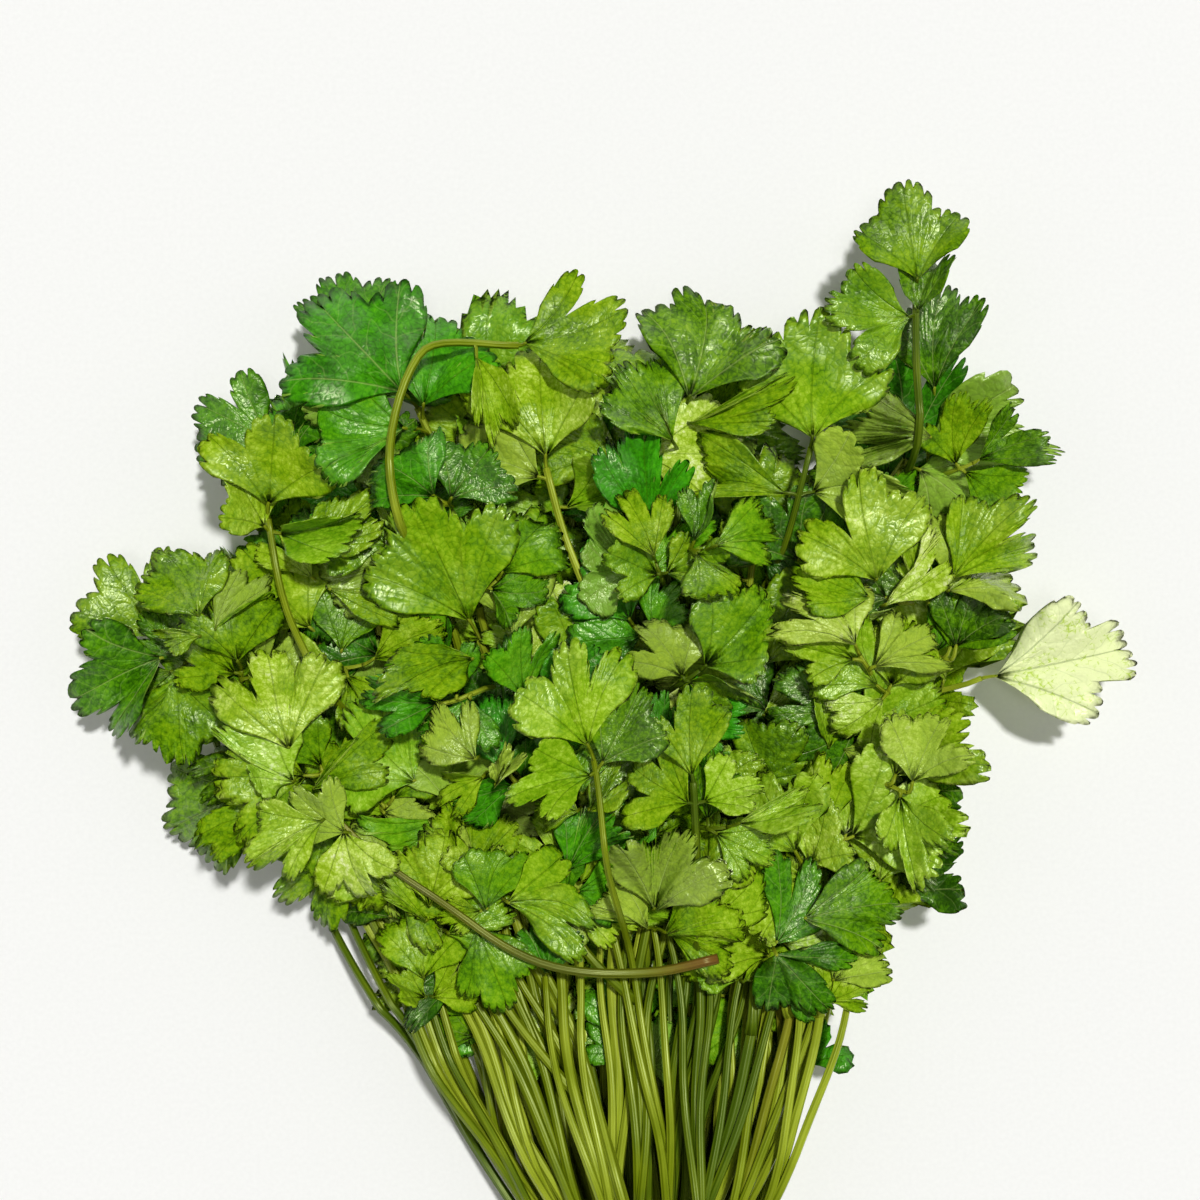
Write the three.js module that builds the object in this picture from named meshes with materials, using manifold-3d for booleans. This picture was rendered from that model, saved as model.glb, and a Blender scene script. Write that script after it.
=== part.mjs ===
// A bunch of fresh coriander lying on its side, held by one rubber band near the cut ends.
//
// Millimetres. +Z is up from the table, +Y runs from the band to the leaf tips, and +X is to the
// right when the bunch is seen from above. The origin is on the table under the middle of the band.
//
// Every sprig grew as one piece, so it is one solid: a stem, a side stem where it has one, and the
// leaflets at their ends. The sprigs are laid one after the other on a pile that starts as the bare
// table, each one as low as the sprigs under it allow.
import * as THREE from "three";
import { mergeVertices } from "three/addons/utils/BufferGeometryUtils.js";
import Module from "manifold-3d";

const wasm = await Module();
wasm.setup();

// Stems
const STEM_RADIUS = 1.2;
const SIDE_STEM_RADIUS = 0.9;
const STEM_SIDES = 4;
const STEM_STEPS = 7; // stretches of stem between the band and the leaf
const STEP_GROWTH = 1.5; // the stretches are short near the band, where the stems are close together
const SIDE_STEM_STEPS = 3;
const STEM_PITCH = 3.6; // from one stem to the next in a layer, inside the band
const FAN_Y = 48; // up to about here every layer fans out alike, so its stems don't cross
const FAN_SPREAD = 2.9; // how much wider than the band the fan is there
const CUT_END_Y = -38;
const CUT_END_SPREAD = 1.25; // how much wider than the band the cut ends lie
const CUT_END_RAGGED = 8; // how far along the bunch the cut ends are apart
const ARRIVAL = 0.12; // share of a stem's reach over which it turns to its leaf's heading
const SIDE_ARRIVAL = 0.35; // the same for a side stem
const LOWEST_FORK = 3; // the first station that a side stem may leave from
const STEEPEST_STEM = 0.6; // rise over run
const STEM_SAG = 2.0; // how far a stem may dip between two points that hold it up

// Leaves. Each has a middle leaflet and one on each side, all in one blade.
const BLADE_THICKNESS = 0.8;
const BLADE_LOFT = 0.8; // air that stays above a blade, because a real one isn't flat
const BLADE_TILT = { heart: 1.5, rim: -3, either: 1.5 }; // degrees up from level towards the tip

// Band
const BAND_WIDTH = 7;
const BAND_WALL = 1.2;
const BAND_CORNER = 7;
const BAND_CORNER_STEPS = 4;
const STRAIGHT_HALF = 5; // the stems run straight for this far on each side of the band's middle
const BAND_STATION = 2; // the station of a tied stem just above the band

// The pile
const REST_GAP = 0.35; // between a stem or blade and what it lies on
const FOOTPRINT_MARGIN = 0.36; // half the diagonal of a one-millimetre square, halved again
const STRAIGHTEN_PASSES = 40;
const FIELD = { left: -175, right: 150, near: -60, far: 330 };

// Stems that pass through the band, layer by layer from the table up: the first four layers are the
// inner sprigs, and the rest are the crown's.
const INNER_LAYERS = [6, 8, 9, 10];

// The leaf stalks of the inner sprigs end on an oval around this point.
const HEART = { x: -12, y: 183, halfWidth: 86, halfLength: 62 };
const LOWEST_LEAF_Y = 129; // the stems are bare below this
const FAN_ROOT = { x: -6, y: 105 }; // the inner leaves point away from here
const INNER = {
  fan: 112, // degrees round the oval from its far end to the first and last sprig of a layer
  stray: 12, // degrees that a sprig may lie beside its place on the oval, from one side to the other
  reach: [1, 0.62], // share of the oval's size, for one layer and the next in turn
  uneven: [0.9, 1.05],
  headings: 50, // degrees between the headings furthest apart
  length: [25, 30],
  sideAlong: [0.05, 0.55], // share of the way from LOWEST_LEAF_Y to the far leaf
  sideOut: [8, 20], // beside the straight line to the far leaf
  sideTurn: 55,
  sideLength: [20, 25],
};

// The sprigs that show on top, layer by layer and from left to right in each. A leaf is its joint's
// x and y, the heading of its middle leaflet in degrees (0 is +Y and 90 is +X) and that leaflet's
// length. A bend pulls the stem towards it.
const CROWN_LAYERS = [
  [
    { leaf: [-125, 180, -25, 22], side: [-100, 145, -115, 22] },
    { leaf: [-121, 178, -105, 24], side: [-76, 130, -125, 21] },
    { leaf: [-95, 232, -65, 22], side: [-83, 182, -40, 27] },
    { leaf: [-72, 249, -20, 26], side: [-64, 205, -60, 24] },
    { leaf: [-6, 237, 15, 26], side: [-28, 177, -150, 24] },
    { leaf: [28, 172, 15, 28], side: [41, 147, -80, 20] },
    { leaf: [69, 232, 80, 27] },
    { leaf: [74, 242, 0, 27] },
    { leaf: [85, 172, 72, 33], side: [60, 117, 65, 22], bends: [[44, 105], [50, 165]] },
  ],
  [
    { leaf: [-111, 186, -25, 21], side: [-76, 145, -160, 21] },
    { leaf: [-84, 202, 35, 22], side: [-55, 145, -60, 25] },
    { leaf: [-26, 225, -5, 30], side: [-34, 180, 0, 26], bends: [[-4, 115], [6, 185]] },
    { leaf: [0, 206, -10, 28], side: [-19, 120, 50, 24] },
    { leaf: [40, 230, 15, 30], side: [-20, 170, 25, 24], bends: [[18, 115], [20, 205]] },
    { leaf: [70, 270, -15, 27], side: [50, 157, 60, 24], bends: [[30, 115], [66, 215]] },
    { leaf: [57, 195, -20, 28], side: [34, 113, 85, 27] },
    { leaf: [74, 196, 30, 28], side: [47, 131, 57, 28] },
  ],
  [
    { leaf: [-95, 212, 10, 24], side: [-88, 152, -5, 28], bends: [[-40, 105], [-66, 160]] },
    { leaf: [-59, 241, -30, 30], side: [-43, 182, -18, 34] },
    {
      leaf: [-33, 256, 60, 26],
      side: [-38, 117, 80, 24],
      bends: [[-36, 120], [-72, 190], [-74, 245], [-56, 271]],
    },
    { leaf: [-14, 153, -20, 26] },
    { leaf: [10, 235, 20, 32], side: [10, 148, -5, 22] },
  ],
];

// One cut sprig has slipped out of the band and lies across the others.
const LOOSE_SPRIG = {
  route: [[16, 105], [-8, 91], [-34, 99], [-48, 113], [-78, 139]],
  leaf: [-78, 139, -110, 22],
};

// The right half of a leaf's outline, from the tip of its middle leaflet round to its stem: degrees
// from the heading, and the distance from the joint as a share of the middle leaflet's length.
const LOBED_OUTLINE = [[0, 1], [27, 0.88], [31, 0.45], [38, 0.72], [62, 0.86], [92, 0.74], [180, 0.07]];
const PLAIN_OUTLINE = [[0, 1], [31, 0.62], [62, 0.86], [92, 0.72], [180, 0.07]];

const radians = THREE.MathUtils.degToRad;
const clamp = THREE.MathUtils.clamp;

// A number from 0 to 1 that looks random and is always the same for the same sprig and use.
function chance(sprig, use) {
  const value = Math.sin(sprig * 12.9898 + use * 78.233) * 43758.5453;
  return value - Math.floor(value);
}

function mix(from, to, share) {
  return from + (to - from) * share;
}

function between([from, to], sprig, use) {
  return mix(from, to, chance(sprig, use));
}

// A number from minus half the spread to plus half of it.
function aboutZero(spread, sprig, use) {
  return (chance(sprig, use) - 0.5) * spread;
}

// The point of a Bezier curve with any number of control points.
function bezierPoint(controls, share) {
  let points = controls;
  while (points.length > 1) {
    const last = points;
    points = points.slice(1).map((point, k) => [
      mix(last[k][0], point[0], share),
      mix(last[k][1], point[1], share),
    ]);
  }
  return points[0];
}

function bezierStations(controls, steps, growth) {
  const stations = [];
  for (let step = 1; step <= steps; step++) {
    const [x, y] = bezierPoint(controls, (step / steps) ** growth);
    stations.push({ x, y, z: 0 });
  }
  return stations;
}

function behind([x, y, heading], distance) {
  return [x - Math.sin(radians(heading)) * distance, y - Math.cos(radians(heading)) * distance];
}

// Layout -----------------------------------------------------------------------------------------

// An inner sprig: its far leaf is on the oval, further in for every second layer, and its side leaf
// is partway along the stem, to the left and the right in turn.
function innerSprig(number, layer, place, count) {
  const fan = ((place + 0.5) / count) * 2 - 1;
  const around = radians(fan * INNER.fan + aboutZero(INNER.stray, number, 1));
  const reach = INNER.reach[layer % 2] * between(INNER.uneven, number, 2);
  const x = HEART.x + Math.sin(around) * HEART.halfWidth * reach;
  const y = HEART.y + Math.cos(around) * HEART.halfLength * reach;
  const outward = THREE.MathUtils.radToDeg(Math.atan2(x - FAN_ROOT.x, y - FAN_ROOT.y));
  const heading = outward + aboutZero(INNER.headings, number, 3);
  const turn = (place + layer) % 2 === 0 ? 1 : -1;
  const sideY = mix(LOWEST_LEAF_Y, y, between(INNER.sideAlong, number, 4));
  const sideX = (x * sideY) / y + turn * between(INNER.sideOut, number, 5);
  return {
    leaf: [x, y, heading, between(INNER.length, number, 6)],
    side: [sideX, sideY, outward + turn * INNER.sideTurn, between(INNER.sideLength, number, 7)],
  };
}

// The points that a stem is drawn towards, from the band to its leaf.
function stemControls(slotX, sprig) {
  const [x, y] = sprig.leaf;
  const bends = sprig.bends ?? [[mix(slotX, x, 0.5), mix(STRAIGHT_HALF, y, 0.45)]];
  return [
    [slotX, STRAIGHT_HALF],
    [slotX * FAN_SPREAD, FAN_Y],
    ...bends,
    behind(sprig.leaf, ARRIVAL * Math.hypot(x - slotX, y)),
    [x, y],
  ];
}

function tiedStem(number, slotX, sprig) {
  return [
    { x: slotX * CUT_END_SPREAD, y: CUT_END_Y + aboutZero(CUT_END_RAGGED, number, 8), z: 0 },
    { x: slotX, y: -STRAIGHT_HALF, z: 0 },
    { x: slotX, y: STRAIGHT_HALF, z: 0 },
    ...bezierStations(stemControls(slotX, sprig), STEM_STEPS, STEP_GROWTH),
  ];
}

function sideStem(stem, leaf) {
  const distance = (station) => Math.hypot(station.x - leaf[0], station.y - leaf[1]);
  const distances = stem.map(distance);
  const nearest = distances.indexOf(Math.min(...distances));
  const fork = stem[clamp(nearest - 1, LOWEST_FORK, stem.length - 3)];
  const controls = [[fork.x, fork.y], behind(leaf, SIDE_ARRIVAL * distance(fork)), [leaf[0], leaf[1]]];
  return [fork, ...bezierStations(controls, SIDE_STEM_STEPS, 1)];
}

// Leaves near the rim hang down a little, and the others lie nearly level.
function bladeRise(number, use, x, y) {
  const fromHeart = Math.hypot((x - HEART.x) / HEART.halfWidth, (y - HEART.y) / HEART.halfLength);
  const tilt = mix(BLADE_TILT.heart, BLADE_TILT.rim, clamp(fromHeart, 0, 1));
  return Math.tan(radians(tilt + aboutZero(2 * BLADE_TILT.either, number, use)));
}

function limb(number, stations, [x, y, heading, length], isSide) {
  const rise = bladeRise(number, isSide ? 11 : 10, x, y);
  return {
    stations,
    radius: isSide ? SIDE_STEM_RADIUS : STEM_RADIUS,
    blade: { heading: radians(heading), length, rise },
  };
}

function growSprig(number, stem, sprig, isCrown) {
  const limbs = [limb(number, stem, sprig.leaf, false)];
  if (sprig.side) limbs.push(limb(number, sideStem(stem, sprig.side), sprig.side, true));
  return { number, limbs, outline: isCrown ? LOBED_OUTLINE : PLAIN_OUTLINE };
}

// Places 0, 2, 4 and so on, and then the ones between, which lie on their neighbours' leaves.
function everySecondFirst(count) {
  const places = Array.from({ length: count }, (_, place) => place);
  return [...places.filter((place) => place % 2 === 0), ...places.filter((place) => place % 2 === 1)];
}

function layOut() {
  const sprigs = [];
  const layers = [
    ...INNER_LAYERS.map((count, layer) => ({ count, inner: layer })),
    ...CROWN_LAYERS.map((crown) => ({ count: crown.length, crown })),
  ];
  for (const { count, inner, crown } of layers) {
    for (const place of everySecondFirst(count)) {
      const number = sprigs.length + 1;
      const sprig = crown ? crown[place] : innerSprig(number, inner, place, count);
      const slotX = (place - (count - 1) / 2) * STEM_PITCH;
      sprigs.push(growSprig(number, tiedStem(number, slotX, sprig), sprig, Boolean(crown)));
    }
  }
  const number = sprigs.length + 1;
  const [start] = LOOSE_SPRIG.route;
  const stem = [{ x: start[0], y: start[1], z: 0 }, ...bezierStations(LOOSE_SPRIG.route, STEM_STEPS, 1)];
  sprigs.push(growSprig(number, stem, LOOSE_SPRIG, true));
  return sprigs;
}

// The pile ---------------------------------------------------------------------------------------

const fieldLength = FIELD.far - FIELD.near;
const field = new Float64Array((FIELD.right - FIELD.left) * fieldLength).fill(-REST_GAP);

function visitSquares(minX, maxX, minY, maxY, visit) {
  for (let x = Math.floor(minX); x <= maxX; x++) {
    for (let y = Math.floor(minY); y <= maxY; y++) {
      visit(x + 0.5, y + 0.5, (x - FIELD.left) * fieldLength + y - FIELD.near);
    }
  }
}

// Visits the squares under a straight stretch of stem, with the share of its length at each.
function visitStretch(a, b, radius, visit) {
  const reach = radius + FOOTPRINT_MARGIN;
  const runX = b.x - a.x;
  const runY = b.y - a.y;
  const [left, right] = [Math.min(a.x, b.x) - reach, Math.max(a.x, b.x) + reach];
  const [near, far] = [Math.min(a.y, b.y) - reach, Math.max(a.y, b.y) + reach];
  visitSquares(left, right, near, far, (x, y, square) => {
    const share = clamp(((x - a.x) * runX + (y - a.y) * runY) / (runX * runX + runY * runY), 0, 1);
    if (Math.hypot(x - a.x - runX * share, y - a.y - runY * share) < reach) visit(square, share);
  });
}

function outlineRadius(outline, degrees) {
  const next = Math.max(1, outline.findIndex(([at]) => at >= degrees));
  const [[fromAngle, fromRadius], [toAngle, toRadius]] = [outline[next - 1], outline[next]];
  return mix(fromRadius, toRadius, (degrees - fromAngle) / (toAngle - fromAngle));
}

// Visits the squares under a blade, with the distance from its joint along its heading at each.
function visitBlade(joint, blade, outline, visit) {
  const reach = blade.length + FOOTPRINT_MARGIN;
  const headX = Math.sin(blade.heading);
  const headY = Math.cos(blade.heading);
  visitSquares(joint.x - reach, joint.x + reach, joint.y - reach, joint.y + reach, (x, y, square) => {
    const along = (x - joint.x) * headX + (y - joint.y) * headY;
    const across = Math.abs((x - joint.x) * headY - (y - joint.y) * headX);
    const distance = Math.hypot(along, across);
    const turn = THREE.MathUtils.radToDeg(Math.atan2(across, along));
    const margin = THREE.MathUtils.radToDeg(FOOTPRINT_MARGIN / Math.max(distance, FOOTPRINT_MARGIN));
    const radius = Math.max(
      ...[-margin, 0, margin].map((offset) => outlineRadius(outline, clamp(turn + offset, 0, 180))),
    );
    if (distance < radius * blade.length + FOOTPRINT_MARGIN) visit(square, along);
  });
}

// Raises the ends of a stretch until the point at a share of its length reaches a height: the closer
// end first, as far as the highest point that the stretch must clear, and then the other.
function liftStretch(a, b, { share, height }, highest) {
  const [close, other, weight] = share < 0.5 ? [a, b, 1 - share] : [b, a, share];
  const wanted = (height - other.z * (1 - weight)) / weight;
  close.z = Math.max(close.z, Math.min(wanted, highest));
  if (weight < 1) other.z = Math.max(other.z, (height - close.z * weight) / (1 - weight));
}

// Raises a sprig until its stems and leaves touch nothing on the pile.
function liftOverPile({ limbs, outline }) {
  for (const { stations, radius, blade } of limbs) {
    for (let k = 1; k < stations.length; k++) {
      const [a, b] = [stations[k - 1], stations[k]];
      const supports = [];
      visitStretch(a, b, radius, (square, share) => {
        supports.push({ share, height: field[square] + REST_GAP + radius });
      });
      const highest = Math.max(...supports.map(({ height }) => height));
      for (const support of supports) liftStretch(a, b, support, highest);
    }
    const joint = stations.at(-1);
    visitBlade(joint, blade, outline, (square, along) => {
      joint.z = Math.max(joint.z, field[square] + REST_GAP + BLADE_THICKNESS / 2 - blade.rise * along);
    });
  }
}

// The height at a station of a straight line from the one before it to the one after it.
function bridgeHeight(before, station, after) {
  const done = Math.hypot(station.x - before.x, station.y - before.y);
  const left = Math.hypot(after.x - station.x, after.y - station.y);
  return mix(before.z, after.z, done / (done + left));
}

// A stem is stiff: it rises gently to each point that something holds up, and bridges the dips.
function straighten({ limbs }) {
  for (let pass = 0; pass < STRAIGHTEN_PASSES; pass++) {
    for (const { stations } of limbs) {
      for (let k = 1; k < stations.length; k++) {
        const [a, b] = [stations[k - 1], stations[k]];
        const rise = STEEPEST_STEM * Math.hypot(b.x - a.x, b.y - a.y);
        a.z = Math.max(a.z, b.z - rise);
        b.z = Math.max(b.z, a.z - rise);
        if (k > BAND_STATION + 1) a.z = Math.max(a.z, bridgeHeight(stations[k - 2], a, b) - STEM_SAG);
      }
    }
  }
}

function addToPile({ limbs, outline }) {
  const raise = (square, height) => {
    field[square] = Math.max(field[square], height);
  };
  for (const { stations, radius, blade } of limbs) {
    for (let k = 1; k < stations.length; k++) {
      const [a, b] = [stations[k - 1], stations[k]];
      visitStretch(a, b, radius, (square, share) => raise(square, mix(a.z, b.z, share) + radius));
    }
    const joint = stations.at(-1);
    const top = joint.z + BLADE_THICKNESS / 2 + BLADE_LOFT;
    visitBlade(joint, blade, outline, (square, along) => raise(square, top + blade.rise * along));
  }
}

// The lower strap of the band lies on the table before the first sprig does.
function addBandToPile(halfSpan) {
  visitSquares(-halfSpan, halfSpan, -BAND_WIDTH / 2, BAND_WIDTH / 2, (x, y, square) => {
    field[square] = BAND_WALL;
  });
}

// Solids -----------------------------------------------------------------------------------------

function toSolid(geometry) {
  const bare = geometry.clone();
  bare.deleteAttribute("normal");
  bare.deleteAttribute("uv");
  const merged = mergeVertices(bare, 1e-4);
  const vertProperties = new Float32Array(merged.attributes.position.array);
  const triVerts = new Uint32Array(merged.index.array);
  return new wasm.Manifold(new wasm.Mesh({ numProp: 3, vertProperties, triVerts }));
}

function toGeometry(solid) {
  const mesh = solid.getMesh();
  const geometry = new THREE.BufferGeometry();
  geometry.setAttribute("position", new THREE.BufferAttribute(new Float32Array(mesh.vertProperties), 3));
  geometry.setIndex(new THREE.BufferAttribute(new Uint32Array(mesh.triVerts), 1));
  geometry.computeVertexNormals();
  return geometry;
}

// The route through a limb's stations, which keeps them as the steps of the extrusion.
class StemRoute extends THREE.Curve {
  constructor(stations) {
    super();
    this.points = stations.map(({ x, y, z }) => new THREE.Vector3(x, y, z));
  }

  getPoint(share, target = new THREE.Vector3()) {
    const place = share * (this.points.length - 1);
    const k = Math.min(Math.floor(place), this.points.length - 2);
    return target.lerpVectors(this.points[k], this.points[k + 1], place - k);
  }

  getPointAt(share, target) {
    return this.getPoint(share, target);
  }

  getTangentAt(share, target) {
    return this.getTangent(share, target);
  }
}

function stemSolid({ stations, radius }) {
  const section = new THREE.Shape();
  section.setFromPoints(
    Array.from({ length: STEM_SIDES }, (_, k) => {
      const angle = (k / STEM_SIDES) * Math.PI * 2;
      return new THREE.Vector2(Math.cos(angle) * radius, Math.sin(angle) * radius);
    }),
  );
  const steps = stations.length - 1;
  const extrudePath = new StemRoute(stations);
  return toSolid(new THREE.ExtrudeGeometry(section, { steps, extrudePath, bevelEnabled: false }));
}

function bladeSolid(joint, { heading, length, rise }, outline) {
  const right = outline.map(([degrees, radius]) => {
    const angle = radians(degrees);
    return new THREE.Vector2(Math.sin(angle), Math.cos(angle)).multiplyScalar(radius * length);
  });
  const left = right.slice(1, -1).map(({ x, y }) => new THREE.Vector2(-x, y)).reverse();
  const shape = new THREE.Shape([...right, ...left]);
  const geometry = new THREE.ExtrudeGeometry(shape, { depth: BLADE_THICKNESS, bevelEnabled: false });
  geometry.translate(0, 0, -BLADE_THICKNESS / 2);
  geometry.rotateX(Math.atan(rise));
  geometry.rotateZ(-heading);
  geometry.translate(joint.x, joint.y, joint.z);
  return toSolid(geometry);
}

function sprigSolid({ limbs, outline }) {
  const pieces = limbs.flatMap((grown) => [
    stemSolid(grown),
    bladeSolid(grown.stations.at(-1), grown.blade, outline),
  ]);
  return pieces.reduce((whole, piece) => whole.add(piece));
}

function roundedRectangle(Outline, left, right, low, high, corner) {
  const outline = new Outline();
  outline.moveTo(right - corner, low);
  outline.absarc(right - corner, low + corner, corner, -Math.PI / 2, 0);
  outline.absarc(right - corner, high - corner, corner, 0, Math.PI / 2);
  outline.absarc(left + corner, high - corner, corner, Math.PI / 2, Math.PI);
  outline.absarc(left + corner, low + corner, corner, Math.PI, Math.PI * 1.5);
  outline.closePath();
  return outline;
}

// The band, drawn around the stems: flat where it lies on the table.
function bandGeometry(halfSpan, height) {
  const [half, low, high] = [halfSpan - BAND_WALL, BAND_WALL, height - BAND_WALL];
  const shape = roundedRectangle(THREE.Shape, -halfSpan, halfSpan, 0, height, BAND_CORNER);
  shape.holes.push(roundedRectangle(THREE.Path, -half, half, low, high, BAND_CORNER - BAND_WALL));
  const settings = { depth: BAND_WIDTH, bevelEnabled: false, curveSegments: BAND_CORNER_STEPS };
  const geometry = new THREE.ExtrudeGeometry(shape, settings);
  geometry.rotateX(Math.PI / 2);
  geometry.translate(0, BAND_WIDTH / 2, 0);
  return geometry;
}

// The bunch --------------------------------------------------------------------------------------

const leafGreens = ["#648810", "#4e7408", "#799f16", "#587020", "#3d5a08", "#8dae38"];

function leafMaterial(number) {
  const color = leafGreens[Math.floor(chance(number, 9) * leafGreens.length)];
  return new THREE.MeshStandardMaterial({ color, roughness: 0.5, metalness: 0 });
}

const bunch = new THREE.Group();
const widestLayer = Math.max(...INNER_LAYERS, ...CROWN_LAYERS.map((layer) => layer.length));
const bandHalfSpan = ((widestLayer - 1) / 2) * STEM_PITCH + STEM_RADIUS + REST_GAP + BAND_WALL;
addBandToPile(bandHalfSpan);

for (const sprig of layOut()) {
  liftOverPile(sprig);
  straighten(sprig);
  addToPile(sprig);
  const mesh = new THREE.Mesh(toGeometry(sprigSolid(sprig)), leafMaterial(sprig.number));
  mesh.name = `sprig_${String(sprig.number).padStart(2, "0")}`;
  bunch.add(mesh);
}

let stemTop = 0;
visitSquares(-bandHalfSpan, bandHalfSpan, -BAND_WIDTH / 2, BAND_WIDTH / 2, (x, y, square) => {
  stemTop = Math.max(stemTop, field[square]);
});
const band = new THREE.Mesh(
  bandGeometry(bandHalfSpan, stemTop + REST_GAP + BAND_WALL),
  new THREE.MeshStandardMaterial({ color: "#b08a5c", roughness: 0.7, metalness: 0 }),
);
band.name = "rubber_band";
bunch.add(band);

export default bunch;
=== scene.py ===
import functools
import math
from typing import NamedTuple

import bpy
import numpy as np
from bpy.props import FloatProperty, FloatVectorProperty, PointerProperty
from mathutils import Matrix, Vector


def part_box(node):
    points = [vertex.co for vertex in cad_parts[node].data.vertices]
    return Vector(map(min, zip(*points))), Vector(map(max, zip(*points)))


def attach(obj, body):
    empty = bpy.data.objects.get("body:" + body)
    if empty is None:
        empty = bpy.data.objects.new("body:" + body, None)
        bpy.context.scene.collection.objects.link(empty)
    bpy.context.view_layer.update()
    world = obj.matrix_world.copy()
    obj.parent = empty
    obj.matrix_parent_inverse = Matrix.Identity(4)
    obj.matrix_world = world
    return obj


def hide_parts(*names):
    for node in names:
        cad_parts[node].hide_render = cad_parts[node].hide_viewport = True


bl_info = {
    "name": "Coriander Bunch",
    "version": (1, 0, 0),
    "blender": (4, 5, 0),
    "location": "View3D > Sidebar > Coriander",
    "description": "Grows a bunch of cut coriander held by a rubber band, lying on its side",
    "category": "Add Mesh",
}

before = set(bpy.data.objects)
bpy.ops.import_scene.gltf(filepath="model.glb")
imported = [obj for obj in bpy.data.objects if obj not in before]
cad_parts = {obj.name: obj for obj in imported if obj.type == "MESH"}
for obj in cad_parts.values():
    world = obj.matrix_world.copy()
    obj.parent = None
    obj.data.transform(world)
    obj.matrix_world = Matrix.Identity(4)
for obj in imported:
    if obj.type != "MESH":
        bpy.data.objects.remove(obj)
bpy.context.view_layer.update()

# Layout of the sprigs ----------------------------------------------------------------------------
#
# Lengths from here on are millimetres, and the meshes are scaled to metres when they are made. The
# stems and leaves follow those of the solid sprigs to within a few millimetres, and only their
# heights are read back from the solids.

MM = 0.001

STEM_STEPS, SIDE_STEM_STEPS = 7, 3
STEP_GROWTH = 1.5  # a stem's steps grow longer towards its leaf
STEM_PITCH = 3.6  # between the stems in the band
STRAIGHT_HALF = 5  # half of the stretch that the band holds
FAN_Y, FAN_SPREAD = 48, 2.9  # where the stems have parted, and by how much
MIDWAY_X, MIDWAY_Y = 0.5, 0.45  # the shares of its way at which a stem without bends is steered
CUT_END_Y, CUT_END_SPREAD, CUT_END_RAGGED = -38, 1.25, 8
ARRIVAL, SIDE_ARRIVAL = 0.12, 0.35  # the last shares of a stem's way, which point along its leaf
LOWEST_FORK = 3  # the first station at which a side stem may leave
STATION_REACH = 1.7  # how far round a station its solid's points are looked for

# The inner sprigs, which the crown covers. Their main leaves stand round the bunch's heart, in wide
# and narrow layers by turns, and their side leaves stand below and beside those.
INNER_LAYERS = (6, 8, 9, 10)
HEART_X, HEART_Y, HEART_HALF_WIDTH, HEART_HALF_LENGTH = -12, 183, 86, 62
LOWEST_LEAF_Y = 129
FAN_ROOT_X, FAN_ROOT_Y = -6, 105
INNER_FAN, INNER_STRAY, INNER_HEADINGS = 112, 12, 50
INNER_REACH = (1, 0.62)
INNER_UNEVEN = (0.9, 1.05)
INNER_LENGTH = (25, 30)
INNER_SIDE_ALONG = (0.05, 0.55)
INNER_SIDE_OUT = (8, 20)
INNER_SIDE_TURN = 55
INNER_SIDE_LENGTH = (20, 25)
INNER_TONE, INNER_EMERALD = (0.3, 0.75), (-0.6, 0.9)

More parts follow.
